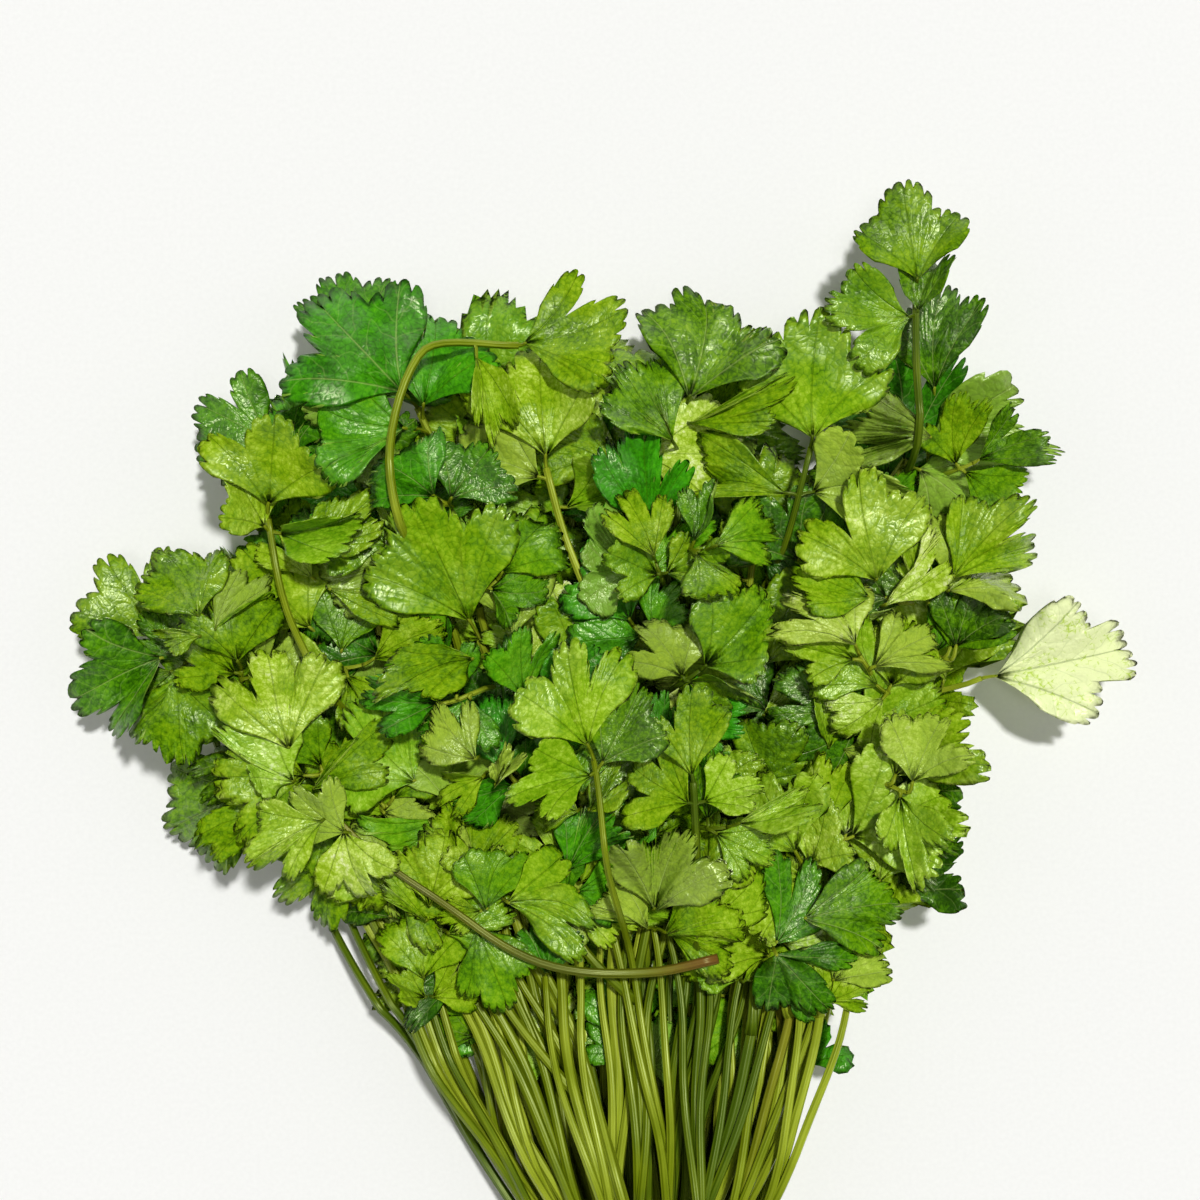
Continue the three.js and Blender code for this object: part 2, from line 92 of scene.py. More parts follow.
# The sprigs that show on top, layer by layer. A leaf is the x and y of its joint, the heading of its
# middle leaflet in degrees (0 is +Y and 90 is +X) and its length, then its tone (0 dark to 1 pale,
# and more for a bleached leaf, which stands alone) and how far it is from yellow green (0) to
# emerald (1). After the main leaf and the side leaf come the bends of a stem that has its own.
CROWN_LAYERS = (
    (
        ((-125, 180, -25, 25, 0.45, 0.0), (-100, 145, -123, 25, 0.25, 0.2), None),
        ((-121, 178, -105, 27, 0.2, 0.3), (-76, 130, -125, 21, 0.5, 0.0), None),
        ((-95, 232, -65, 22, 0.2, 0.5), (-83, 182, -40, 27, 0.6, 0.1), None),
        ((-72, 249, -20, 26, 0.3, 0.7), (-64, 205, -60, 24, 0.6, 0.1), None),
        ((-6, 237, 12, 30, 0.7, 0.0), (-28, 177, -150, 24, 0.6, 0.1), None),
        ((28, 172, 15, 28, 0.6, 0.0), (41, 147, -80, 20, 0.5, 0.8), None),
        ((69, 232, 80, 33, 0.2, 0.6), None, None),
        ((74, 242, -14, 27, 0.25, 0.3), None, None),
        ((85, 172, 74, 37, 1.25, 0.0), (60, 117, 65, 22, 0.2, 0.4), ((44, 105), (50, 165))),
    ),
    (
        ((-111, 186, -25, 21, 0.5, 0.0), (-76, 145, -160, 21, 0.45, 0.1), None),
        ((-84, 202, 35, 22, 0.65, 0.0), (-55, 145, -60, 25, 0.6, 0.3), None),
        ((-26, 225, -5, 30, 0.6, 0.0), (-34, 180, 0, 26, 0.75, 0.0), ((-4, 115), (6, 185))),
        ((0, 206, -10, 28, 0.5, 0.9), (-19, 120, 50, 24, 0.65, 0.0), None),
        ((40, 230, 5, 32, 0.6, 0.0), (-20, 170, 25, 24, 0.6, 0.1), ((18, 115), (20, 205))),
        ((67, 270, -12, 25, 0.5, 0.0), (50, 157, 60, 24, 0.5, 0.1), ((30, 115), (66, 215))),
        ((57, 195, -20, 28, 0.72, 0.0), (34, 113, 85, 27, 0.22, 0.5), None),
        ((74, 196, 30, 28, 0.65, 0.0), (47, 131, 57, 28, 0.8, 0.0), None),
    ),
    (
        ((-95, 212, 10, 24, 0.6, 0.0), (-88, 152, -5, 28, 0.75, 0.0), ((-40, 105), (-66, 160))),
        ((-59, 241, -42, 35, 0.35, 0.8), (-43, 182, -18, 34, 0.6, 0.0), None),
        (
            (-33, 256, 86, 27, 0.6, 0.0),
            (-38, 117, 80, 24, 0.5, 0.3),
            ((-36, 120), (-72, 190), (-74, 245), (-56, 271)),
        ),
        ((-14, 153, -20, 26, 0.55, 0.1), None, None),
        ((9, 240, 22, 34, 0.5, 0.1), (10, 148, -5, 22, 0.65, 0.0), None),
    ),
)

# The one cut sprig that has slipped out of the band and lies across the others.
LOOSE_ROUTE = ((16, 105), (-8, 91), (-34, 99), (-48, 113), (-78, 139))
LOOSE_LEAF = (-78, 139, -110, 22, 0.6, 0.0)


class Leaf(NamedTuple):
    x: float
    y: float
    heading: float
    length: float
    tone: float
    emerald: float


def chance(sprig, use):
    """A number from 0 to 1 that looks random and is always the same for the same sprig and use."""
    value = math.sin(sprig * 12.9898 + use * 78.233) * 43758.5453
    return value - math.floor(value)


def mix(start, end, share):
    return start + (end - start) * share


def between(ends, sprig, use):
    return mix(ends[0], ends[1], chance(sprig, use))


def about_zero(spread, sprig, use):
    return (chance(sprig, use) - 0.5) * spread


def bezier_point(controls, share):
    points = np.array(controls, float)
    while len(points) > 1:
        points = mix(points[:-1], points[1:], share)
    return points[0]


def bezier_stations(controls, steps, growth):
    return [bezier_point(controls, (step / steps) ** growth) for step in range(1, steps + 1)]


def behind(leaf, distance):
    heading = math.radians(leaf.heading)
    return (leaf.x - math.sin(heading) * distance, leaf.y - math.cos(heading) * distance)


def inner_sprig(number, layer, place, count):
    """The far leaf and the side leaf of a sprig that the crown covers."""
    fan = (place + 0.5) / count * 2 - 1
    around = math.radians(fan * INNER_FAN + about_zero(INNER_STRAY, number, 1))
    reach = INNER_REACH[layer % 2] * between(INNER_UNEVEN, number, 2)
    x = HEART_X + math.sin(around) * HEART_HALF_WIDTH * reach
    y = HEART_Y + math.cos(around) * HEART_HALF_LENGTH * reach
    outward = math.degrees(math.atan2(x - FAN_ROOT_X, y - FAN_ROOT_Y))
    heading = outward + about_zero(INNER_HEADINGS, number, 3)
    turn = 1 if (place + layer) % 2 == 0 else -1
    side_y = mix(LOWEST_LEAF_Y, y, between(INNER_SIDE_ALONG, number, 4))
    side_x = x * side_y / y + turn * between(INNER_SIDE_OUT, number, 5)
    side_heading = outward + turn * INNER_SIDE_TURN
    tone = between(INNER_TONE, number, 21)
    emerald = max(0.0, between(INNER_EMERALD, number, 22))
    return (
        (x, y, heading, between(INNER_LENGTH, number, 6), tone, emerald),
        (side_x, side_y, side_heading, between(INNER_SIDE_LENGTH, number, 7), tone, emerald),
        None,
    )


def tied_stem(number, slot_x, leaf, bends):
    controls = [
        (slot_x, STRAIGHT_HALF),
        (slot_x * FAN_SPREAD, FAN_Y),
        *(bends or [(mix(slot_x, leaf.x, MIDWAY_X), mix(STRAIGHT_HALF, leaf.y, MIDWAY_Y))]),
        behind(leaf, ARRIVAL * math.hypot(leaf.x - slot_x, leaf.y)),
        leaf[:2],
    ]
    cut_y = CUT_END_Y + about_zero(CUT_END_RAGGED, number, 8)
    start = [(slot_x * CUT_END_SPREAD, cut_y), (slot_x, -STRAIGHT_HALF), (slot_x, STRAIGHT_HALF)]
    return np.array(start + bezier_stations(controls, STEM_STEPS, STEP_GROWTH))


def side_stem(stem, leaf):
    """The stations of a side stem, from where it leaves its stem."""
    distances = np.hypot(stem[:, 0] - leaf.x, stem[:, 1] - leaf.y)
    nearest = int(np.argmin(distances))
    fork = min(max(nearest - 1, LOWEST_FORK), len(stem) - 3)
    controls = [stem[fork], behind(leaf, SIDE_ARRIVAL * distances[fork]), leaf[:2]]
    return np.array([stem[fork]] + bezier_stations(controls, SIDE_STEM_STEPS, 1))


def every_second_first(count):
    return [*range(0, count, 2), *range(1, count, 2)]


def lay_out():
    """Each sprig's number, stem, main leaf, side leaf and whether it shows, in pile order."""
    layers = [(count, layer, None) for layer, count in enumerate(INNER_LAYERS)]
    layers += [(len(crown), None, crown) for crown in CROWN_LAYERS]
    sprigs = []
    for count, inner, crown in layers:
        for place in every_second_first(count):
            number = len(sprigs) + 1
            grown = crown[place] if crown else inner_sprig(number, inner, place, count)
            leaf, side = (values and Leaf(*values) for values in grown[:2])
            slot_x = (place - (count - 1) / 2) * STEM_PITCH
            stem = tied_stem(number, slot_x, leaf, grown[2])
            sprigs.append((number, stem, leaf, side, bool(crown)))
    stem = np.array([LOOSE_ROUTE[0]] + bezier_stations(LOOSE_ROUTE, STEM_STEPS, 1))
    sprigs.append((len(sprigs) + 1, stem, Leaf(*LOOSE_LEAF), None, True))
    return sprigs


# Heights of the solid sprigs ---------------------------------------------------------------------


def node_points(name):
    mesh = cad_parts[name].data
    points = np.empty(len(mesh.vertices) * 3)
    mesh.vertices.foreach_get("co", points)
    return points.reshape(-1, 3) / MM


def with_heights(stations, points):
    """Adds to each station the height of the middle of the solid there."""
    heights = []
    for x, y in stations:
        near = points[np.hypot(points[:, 0] - x, points[:, 1] - y) < STATION_REACH, 2]
        heights.append((near.min() + near.max()) / 2 if len(near) else math.nan)
    heights = np.array(heights)
    known = np.isfinite(heights)
    if known.sum() < len(heights) / 2:
        raise RuntimeError("The stem's route doesn't follow its solid")
    run = np.concatenate([[0], np.cumsum(np.hypot(*np.diff(stations, axis=0).T))])
    heights = np.interp(run, run[known], heights[known])
    return np.column_stack([stations, heights])


# The pile ----------------------------------------------------------------------------------------

CELL = 0.8
FIELD_LEFT, FIELD_NEAR, FIELD_WIDTH, FIELD_LENGTH = -190, -70, 360, 400
BLOCK = 5  # cells along each side of the blocks in which the pile's height is averaged
BLOCK_SMOOTHING = 5
LAST_BLOCK = 1.001  # back from a row's count, so that every block used has a next one
PRESSED_FROM_Y, PRESSED_TO_Y = 30, 100  # nearer than this the band holds the pile
PRESS_BEND = 4  # how sharply the pressing sets in as the pile nears its full height


def smooth_step(value, low, high):
    share = np.clip((value - low) / (high - low), 0, 1)
    return share * share * (3 - 2 * share)


def carried(lift, passes, reaches):
    """Spreads a lift softly over the points around the ones that need it."""
    for _ in range(passes):
        total = np.zeros_like(lift)
        for axis, reach in enumerate(reaches):
            last = lift.shape[axis] - 1
            steps = np.arange(last + 1)
            total += np.take(lift, np.clip(steps - reach, 0, last), axis)
            total += np.take(lift, np.clip(steps + reach, 0, last), axis)
        lift = np.maximum(lift, total / (2 * len(reaches)))
    return lift


class Pile:
    """What lies on the table: its height over a grid of small squares, and all its points."""

    def __init__(self):
        self.top = np.zeros((int(FIELD_WIDTH / CELL), int(FIELD_LENGTH / CELL)))
        self.laid = []

    def squares(self, points):
        across = ((points[..., 0] - FIELD_LEFT) / CELL).astype(int)
        along = ((points[..., 1] - FIELD_NEAR) / CELL).astype(int)
        return across, along

    def height(self, points):
        return self.top[self.squares(points)]

    def add(self, points, reach=1):
        across, along = self.squares(points)
        for shift_x in range(-reach, reach + 1):
            for shift_y in range(-reach, reach + 1):
                np.maximum.at(self.top, (across + shift_x, along + shift_y), points[..., 2])

    def press(self, highest):
        """Presses everything down under the weight above it, most where the pile is highest."""
        wide, long = (size // BLOCK for size in self.top.shape)
        blocks = self.top[: wide * BLOCK, : long * BLOCK].reshape(wide, BLOCK, long, BLOCK)
        heights = blocks.max(axis=(1, 3))
        for _ in range(BLOCK_SMOOTHING):
            padded = np.pad(heights, 1, mode="edge")
            around = [padded[i : i + wide, j : j + long] for i in range(3) for j in range(3)]
            heights = sum(around) / len(around)
        shares = (1 + (heights / highest) ** PRESS_BEND) ** (-1 / PRESS_BEND)

        def share_at(x, y):
            across = np.clip((x - FIELD_LEFT) / CELL / BLOCK - 0.5, 0, wide - LAST_BLOCK)
            along = np.clip((y - FIELD_NEAR) / CELL / BLOCK - 0.5, 0, long - LAST_BLOCK)
            i, j = across.astype(int), along.astype(int)
            near = mix(shares[i, j], shares[i + 1, j], across - i)
            far = mix(shares[i, j + 1], shares[i + 1, j + 1], across - i)
            free = smooth_step(y, PRESSED_FROM_Y, PRESSED_TO_Y)
            return mix(1, mix(near, far, along - j), free)

        for points in self.laid:
            points[..., 2] *= share_at(points[..., 0], points[..., 1])
        x = FIELD_LEFT + (np.arange(self.top.shape[0]) + 0.5) * CELL
        y = FIELD_NEAR + (np.arange(self.top.shape[1]) + 0.5) * CELL
        self.top *= share_at(*np.meshgrid(x, y, indexing="ij"))


# Stems -------------------------------------------------------------------------------------------

STEM_RING_GAP = 3.8
STEM_SIDES, TWIG_SIDES, STALK_SIDES = 10, 7, 5
STALK_STEPS, TWIG_STEPS = 4, 5
CREST_STEPS = 4  # to one step of the stem
STEM_GAP = 0.2  # between a stem and what it lies on
STEM_LIFT_PASSES = 40
LIFT_NEEDED_Y, LIFT_GIVEN_Y = (10, 60), (0, 50)  # nearer than these the band holds a stem down
JOINED_RISE = 7
FALLEN = 0.5  # a stem's height under the leaves, to its solid's, before the pile lifts it

WANDER_FROM_Y, WANDER_GROWTH, WANDER_END = 25, 60, 30  # where it starts, grows full and ends
WANDER_LONG, WANDER_SHORT, SHORT_SHARE, SHORT_PHASE = 19, 9.5, 0.6, 2.3  # its two waves
WANDER_SIZE = (0.8, 1.5)

# A stalk starts inside its stem, and points along it first and to its leaf later. STALK_LEAVING and
# TWIG_AHEAD are parts of two of the stem's steps, STALK_INSIDE and STALK_AHEAD are parts of
# STALK_LEAVING, and LEAFWARD is a share of the stalk's way.
STALK_LEAVING, STALK_INSIDE, STALK_AHEAD = 0.4, 0.2, 0.5
TWIG_AHEAD, LEAFWARD = 0.6, 0.7


def run_along(route):
    """How far each point of a route is from its start."""
    return np.concatenate([[0], np.cumsum(np.linalg.norm(np.diff(route, axis=0), axis=1))])


def smooth_route(stations, gap):
    """A smooth curve through the stations, in steps of about the given gap."""
    points = np.vstack([2 * stations[0] - stations[1], stations, 2 * stations[-1] - stations[-2]])
    route = [stations[0]]
    for k in range(1, len(points) - 2):
        before, start, end, after = points[k - 1 : k + 3]
        length = np.linalg.norm(end - start)
        steps = max(2, math.ceil(length / gap))
        leaving = (end - before) * length / (length + np.linalg.norm(start - before))
        arriving = (after - start) * length / (length + np.linalg.norm(after - end))
        for step in range(1, steps + 1):
            t = step / steps
            route.append(
                (2 * t**3 - 3 * t**2 + 1) * start
                + (t**3 - 2 * t**2 + t) * leaving
                + (3 * t**2 - 2 * t**3) * end
                + (t**3 - t**2) * arriving
            )
    return np.array(route)


def sideways_of(route):
    """The level direction across a route at each of its points."""
    tangent = np.gradient(route, axis=0)
    across = np.column_stack([tangent[:, 1], -tangent[:, 0], np.zeros(len(route))])
    return across / np.maximum(np.linalg.norm(across, axis=1, keepdims=True), 1e-6)


def wander(route, number, size):
    """Bends a route a little to each side, but not where the band and the leaf hold it."""
    run = run_along(route)
    near = np.clip((route[:, 1] - WANDER_FROM_Y) / WANDER_GROWTH, 0, 1)
    far = np.clip((run[-1] - run) / WANDER_END, 0, 1)
    phase = chance(number, 31) * 2 * math.pi
    short = np.sin(run / WANDER_SHORT + phase * SHORT_PHASE)
    wave = np.sin(run / WANDER_LONG + phase) + SHORT_SHARE * short
    free = near * far
    return route + sideways_of(route) * (wave * free * size)[:, None]


def lie_on(pile, route, radius, joined):
    """Lifts a route until a stem of that radius lies on the pile, in easy slopes.

    Where it is joined to another stem, it starts there, under what lies on that one."""
    needed = np.maximum(pile.height(route) + radius + STEM_GAP - route[:, 2], 0)
    lifted = route.copy()
    lift = carried(needed * smooth_step(route[:, 1], *LIFT_NEEDED_Y), STEM_LIFT_PASSES, (1,))
    if joined:
        lift *= smooth_step(run_along(route), 0, JOINED_RISE)
    lifted[:, 2] += lift * smooth_step(route[:, 1], *LIFT_GIVEN_Y)
    return lifted


def crest(route, radii):
    """Closely spaced points along the top of a stem."""
    place = np.arange((len(route) - 1) * CREST_STEPS + 1) / CREST_STEPS
    low = np.minimum(place.astype(int), len(route) - 2)
    fine = mix(route[low], route[low + 1], (place - low)[:, None])
    fine[:, 2] += np.interp(place, np.arange(len(radii)), radii)
    return fine


def stalk_route(stem, place, base):
    """The short stalk from a point of a stem to a leaflet's base."""
    start = stem[place]
    ahead = (start - stem[place - 2]) * STALK_LEAVING
    inside, outside = start - ahead * STALK_INSIDE, start + ahead * STALK_AHEAD
    controls = [inside, outside, mix(start, base, LEAFWARD), base]
    return np.array([bezier_point(controls, step / STALK_STEPS) for step in range(STALK_STEPS + 1)])


# Leaflets ----------------------------------------------------------------------------------------
#
# A leaflet is a sheet of columns, which fan out from its base, and rings, which run across them.
# Until it is placed, its lengths are shares of its own length.

LOBE_TEETH = (5, 6, 5)
LOBE_SPREAD = math.radians(36)  # from the middle lobe's vein to a side lobe's
RING_CROWDING, LEAF_FOOT = 0.8, 0.03  # the rings lie closer to the rim, and the first is not a point
MIDDLE_HALF = (0.42, 0.56)  # half the middle lobe's width, to LOBE_SPREAD
SIDE_LOBES, SHOULDERS = (0.78, 0.98), (0.35, 0.55)  # the side lobes' reach, and their outer fall
LOBE_CUTS, CUT_UNEVEN, LEAST_CUT = (0.16, 0.27, 0.38, 0.5), 0.05, 0.05
WHOLE_LOBES, WHOLE_CUTS = (0.76, 1, 0.76), (0.1, 0.1)
LOBE_ROUNDNESS = 2.8
TOOTH_WIDTHS, NOTCH_DEPTHS = (0.7, 1.3), (0.05, 0.11)
NOTCH_LEAST, NOTCH_MORE, NOTCH_AT_CUT = 0.7, 0.6, 0.3  # every second notch is deeper
NOTCH_SHARPNESS = 3

# How the blade rises and falls: how high, and how many radians to a leaflet length or to a radian
# round its base.
BASE_NARROWING = 0.75
CREASE_DEPTH, CREASE_WIDTH = 0.007, 0.03
FOLD_ROUNDING = 0.04
CUP_ALONG = 0.4
RUFFLE_WAVES, RUFFLE_SECOND = (7.5, 15), 0.5
CRINKLE, CRINKLE_WAVES = 0.12, (21, 9)
SWELL, SWELL_WAVES = 0.035, (5, 4.5)
PUCKER, PUCKER_WAVES = 0.012, (13, 12)
LEAST_BEND = 0.01

LEAF_GAP = 0.4  # between a leaflet and what it lies on
LEAF_LIFT_PASSES = 10
LIFT_SHARE = 25  # a pass carries a lift over this part of the columns


class LeafPlan:
    """The columns and rings that every leaflet of one fineness shares, and its faces."""

    def __init__(self, columns_per_tooth, rings):
        self.columns_per_tooth = columns_per_tooth
        columns = sum(LOBE_TEETH) * columns_per_tooth + 1
        self.along = (np.arange(rings + 1) / rings) ** RING_CROWDING
        self.along[0] = LEAF_FOOT
        shape = (rings + 1, columns)
        upper = np.arange(shape[0] * shape[1]).reshape(shape)
        lower = upper.copy()
        inside = (shape[0] - 2, shape[1] - 2)
        lower[1:-1, 1:-1] = upper.size + np.arange(inside[0] * inside[1]).reshape(inside)
        top = [upper[:-1, :-1], upper[:-1, 1:], upper[1:, 1:], upper[1:, :-1]]
        bottom = [lower[1:, :-1], lower[1:, 1:], lower[:-1, 1:], lower[:-1, :-1]]
        sheets = [np.stack([corner.ravel() for corner in quad], axis=1) for quad in (top, bottom)]
        self.faces = np.concatenate(sheets)
        self.underside = np.repeat([0, 1], len(sheets[0]))


FINE_LEAF = LeafPlan(5, 7)
SMALL_LEAF = LeafPlan(4, 4)
HIDDEN_LEAF = LeafPlan(2, 3)


def leaf_outline(plan, whole, rng):
    """Each column's angle from the midrib, how far the leaflet reaches there, and its tooth notch.

    A whole leaflet is hardly cut into lobes."""
    half_middle = LOBE_SPREAD * rng.uniform(*MIDDLE_HALF)
    halves = (LOBE_SPREAD - half_middle, half_middle, LOBE_SPREAD - half_middle)
    lobe_reach = (rng.uniform(*SIDE_LOBES), 1, rng.uniform(*SIDE_LOBES))
    cuts = rng.choice(LOBE_CUTS, 2) + rng.uniform(-CUT_UNEVEN, CUT_UNEVEN, 2)
    if whole:
        lobe_reach, cuts = WHOLE_LOBES, WHOLE_CUTS
    shoulders = rng.uniform(*SHOULDERS, 2)
    angles, reaches, notches = [], [], []
    for lobe, teeth in enumerate(LOBE_TEETH):
        widths = rng.uniform(*TOOTH_WIDTHS, teeth)
        bounds = np.concatenate([[0], np.cumsum(widths)]) / widths.sum() * 2 - 1
        last = lobe == len(LOBE_TEETH) - 1
        tooth = np.arange(teeth * plan.columns_per_tooth + last) / plan.columns_per_tooth
        gaps = np.arange(teeth + 1)
        place = np.interp(tooth, gaps, bounds)
        angles.append((lobe - 1) * LOBE_SPREAD + place * halves[lobe])
        ends = [
            shoulders[0] if lobe == 0 else 1 - (1 - cuts[lobe - 1]) / lobe_reach[lobe],
            shoulders[1] if last else 1 - (1 - cuts[lobe]) / lobe_reach[lobe],
        ]
        fall = np.maximum(np.where(place < 0, *ends), LEAST_CUT)
        reaches.append(lobe_reach[lobe] * (1 - fall * np.abs(place) ** LOBE_ROUNDNESS))
        depths = rng.uniform(*NOTCH_DEPTHS, teeth + 1) * (NOTCH_LEAST + NOTCH_MORE * (gaps % 2))
        depths[[0, -1]] *= NOTCH_AT_CUT
        from_tip = np.abs(2 * (tooth % 1) - 1)
        notches.append(np.interp(tooth, gaps, depths) * from_tip**NOTCH_SHARPNESS)
    return np.concatenate(angles), np.concatenate(reaches), np.concatenate(notches)


def grow_leaflet(plan, length, shape, rng):
    """A leaflet's points before it is placed, its base at the origin and its midrib along +Y.

    It also returns the flat plan that the vein pattern follows."""
    angle, reach, notch = leaf_outline(plan, shape["whole"], rng)
    along = plan.along[:, None]
    radius = along * reach * (1 - notch * along**4)
    plan_x, plan_y = radius * np.sin(angle), radius * np.cos(angle)
    spread = angle * (BASE_NARROWING + (1 - BASE_NARROWING) * along) * shape["broad"]
    x, y = radius * np.sin(spread), radius * np.cos(spread)
    x = x + shape["skew"] * y**2

    lobe = np.clip(np.round(angle / LOBE_SPREAD), -1, 1)
    from_vein = np.abs(angle - lobe * LOBE_SPREAD) / LOBE_SPREAD
    crease = -CREASE_DEPTH * np.exp(-((from_vein * radius / CREASE_WIDTH) ** 2))
    pleat = shape["pleat"] * radius * (1 - np.cos(from_vein * 2 * math.pi)) * 0.5
    folded = math.radians(shape["fold"])
    fold = math.sin(folded) * (np.sqrt(x**2 + FOLD_ROUNDING**2) - FOLD_ROUNDING)
    x = x * math.cos(folded)
    cup = shape["cup"] * (x**2 + CUP_ALONG * y**2)
    phase = rng.uniform(0, 2 * math.pi, 5)
    first, second = (np.sin(angle * RUFFLE_WAVES[k] + phase[k]) for k in range(2))
    ruffle = radius**3 * (first + RUFFLE_SECOND * second)
    crinkle = np.sin(angle * CRINKLE_WAVES[0] + phase[4] + radius * CRINKLE_WAVES[1]) * radius**2
    swell = np.sin(x * SWELL_WAVES[0] + phase[2]) * np.sin(y * SWELL_WAVES[1] + phase[3])
    pucker = np.sin(x * PUCKER_WAVES[0] + phase[1]) * np.sin(y * PUCKER_WAVES[1] + phase[2]) * radius
    z = crease + pleat + fold + cup + shape["ruffle"] * (ruffle + CRINKLE * crinkle)
    z = z + SWELL * swell + PUCKER * pucker

    bend = shape["bend"] if abs(shape["bend"]) > LEAST_BEND else LEAST_BEND
    sine, cosine = np.sin(y * bend), np.cos(y * bend)
    y, z = sine / bend - z * sine, (1 - cosine) / bend + z * cosine
    twist = shape["twist"] * y
    x, z = x * np.cos(twist) + z * np.sin(twist), z * np.cos(twist) - x * np.sin(twist)
    return np.stack([x, y, z], axis=-1) * length, np.stack([plan_x, plan_y], axis=-1)


def turned_points(points, pitch, roll, heading):
    x, y, z = points[..., 0], points[..., 1], points[..., 2]
    x, z = x * math.cos(roll) + z * math.sin(roll), z * math.cos(roll) - x * math.sin(roll)
    y, z = y * math.cos(pitch) - z * math.sin(pitch), z * math.cos(pitch) + y * math.sin(pitch)
    sine, cosine = math.sin(heading), math.cos(heading)
    return np.stack([x * cosine + y * sine, y * cosine - x * sine, z], axis=-1)


def refined(grid, gap):
    """The grid with points added between its own until they are no further apart than the gap."""
    for axis in (0, 1):
        widest = np.linalg.norm(np.diff(grid, axis=axis), axis=-1).max()
        times = max(1, math.ceil(widest / gap))
        count = grid.shape[axis]
        place = np.arange((count - 1) * times + 1) / times
        low = np.minimum(place.astype(int), count - 2)
        share = (place - low).reshape([-1, 1, 1] if axis == 0 else [1, -1, 1])
        grid = mix(np.take(grid, low, axis), np.take(grid, low + 1, axis), share)
    return grid


def settle(points, pile):
    """Lifts a leaflet off what it would pass through, and carries the lift softly over it."""
    around = [(x * CELL, y * CELL, 0) for x in (-1, 0, 1) for y in (-1, 0, 1)]
    top = np.max([pile.height(points + shift) for shift in around], axis=0)
    needed = np.maximum(top + LEAF_GAP - points[..., 2], 0)
    settled = points.copy()
    settled[..., 2] += carried(needed, LEAF_LIFT_PASSES, (1, max(2, points.shape[1] // LIFT_SHARE)))
    return settled


def sheet_solid(points, thickness):
    """The upper and lower points of a leaflet as thick as a real one, thinning to its rim."""
    normals = np.cross(np.gradient(points, axis=1), np.gradient(points, axis=0))
    normals /= np.maximum(np.linalg.norm(normals, axis=-1, keepdims=True), 1e-9)
    lower = (points - normals * thickness)[1:-1, 1:-1]
    return np.concatenate([points.reshape(-1, 3), lower.reshape(-1, 3)])


# Growing the bunch, from the table up ------------------------------------------------------------

INNER_HEIGHTS = (0.16, 0.26, 0.36, 0.45)  # shares of the full height, as each layer is pressed
CROWN_HEIGHTS = (0.64, 0.82, 0.97)

# Sprigs that differ from their neighbours, by their numbers. Those in the first two have a stem or a
# side stem that lies bare on the leaves, from the y given on.
BARE_FROM_Y = {44: 192, 45: 203, 49: 228, 51: 165, 52: 208, 55: 112}
TWIG_BARE_FROM_Y = {50: 108, 53: 108}
ARCHED = 52  # its stem bridges the gap at the far edge
LAID_LAST = (46, 52)  # in their layers
OPEN_ENDS = (34, 35, 49, 54)  # their end leaflets lie flat and spread wide
BROWNED = (11, 24, 33, 46)  # their stems have a reddish brown blush

# LIVELY, LOW_LIVELY, PETIOLE_LONGER, LOW_LEAF_PITCH and the stems' WANDER_SIZE hold one entry for
# the inner sprigs and one for the crown's. Other pairs are ranges, or a start and an end.
LIVELY, LOW_LIVELY = (0.4, 1.0), (0.3, 1.0)  # how much the leaflets fold and turn
STEM_WIDTHS, LOOSE_WIDTH = (0.8, 1.12), 0.8  # a tied stem's range and the loose stem's, to the usual
STEM_TAPER = ((0, 0.3, 1), (1, 0.92, 0.55))  # places along it, and radii there
TWIG_TAPER = ((0, 5, 12, 60), (0.57, 0.4, 0.36, 0.27))  # in millimetres, and radii to the width
RAISED_BEFORE, RAISED_AFTER = 12, 4  # a bare stem rises from before its y to after it

PETIOLES = 2
PETIOLE_FROM_Y, PETIOLE_STRAY = 22, 8
PETIOLE_OUT, PETIOLE_LEAST = (3, 8), 8  # how far aside it goes, and how many rings it has at least
PETIOLE_TAPER = ((0, 0.4, 1), (0.36, 0.36, 0.26))
PETIOLE_LONGER = ((-36, 24), (-14, 44))  # ranges, each past the stem's bare part
PETIOLE_TURN, PETIOLE_LEAF = 40, (15, 23)

# How far up the stems have no leaves, as x and y. A stem's x is taken at one y.
BARE_UNTIL = (
    *((-80, 96), (-64, 98), (-54, 122), (-38, 121), (-22, 110), (-10, 110), (3, 117), (18, 114)),
    *((38, 108), (50, 90), (60, 84)),
)
BARE_SIDE_Y = 84

LOW_LEAF_FROM, LOW_LEAF_SHORT = (-4, 14), 18  # past the bare part, and short of the stem's end
LOW_LEAF_PITCH = (46, 19)
LOW_LEAF_PLACES, LOW_LEAF_TURN, LOW_LEAF_LENGTH = (0.1, 0.9), (20, 80), (17, 25)
TWIG_OUT, TWIG_RISE, TWIG_RADII = (5, 13), 1, (0.85, 0.55)

PAIR_CHANCE, PAIR_BACK = 0.9, (0.1, 0.4)  # how far behind the end it grows, in leaflet lengths
PAIR_TURN, PAIR_LENGTH = (42, 82), (0.72, 0.95)
END_TURN, END_CALM = 8, 0.65  # the end leaflet's stray, and how lively it is to the others
LOW_TONE = 0.75  # only a head's end leaflet is ever paler

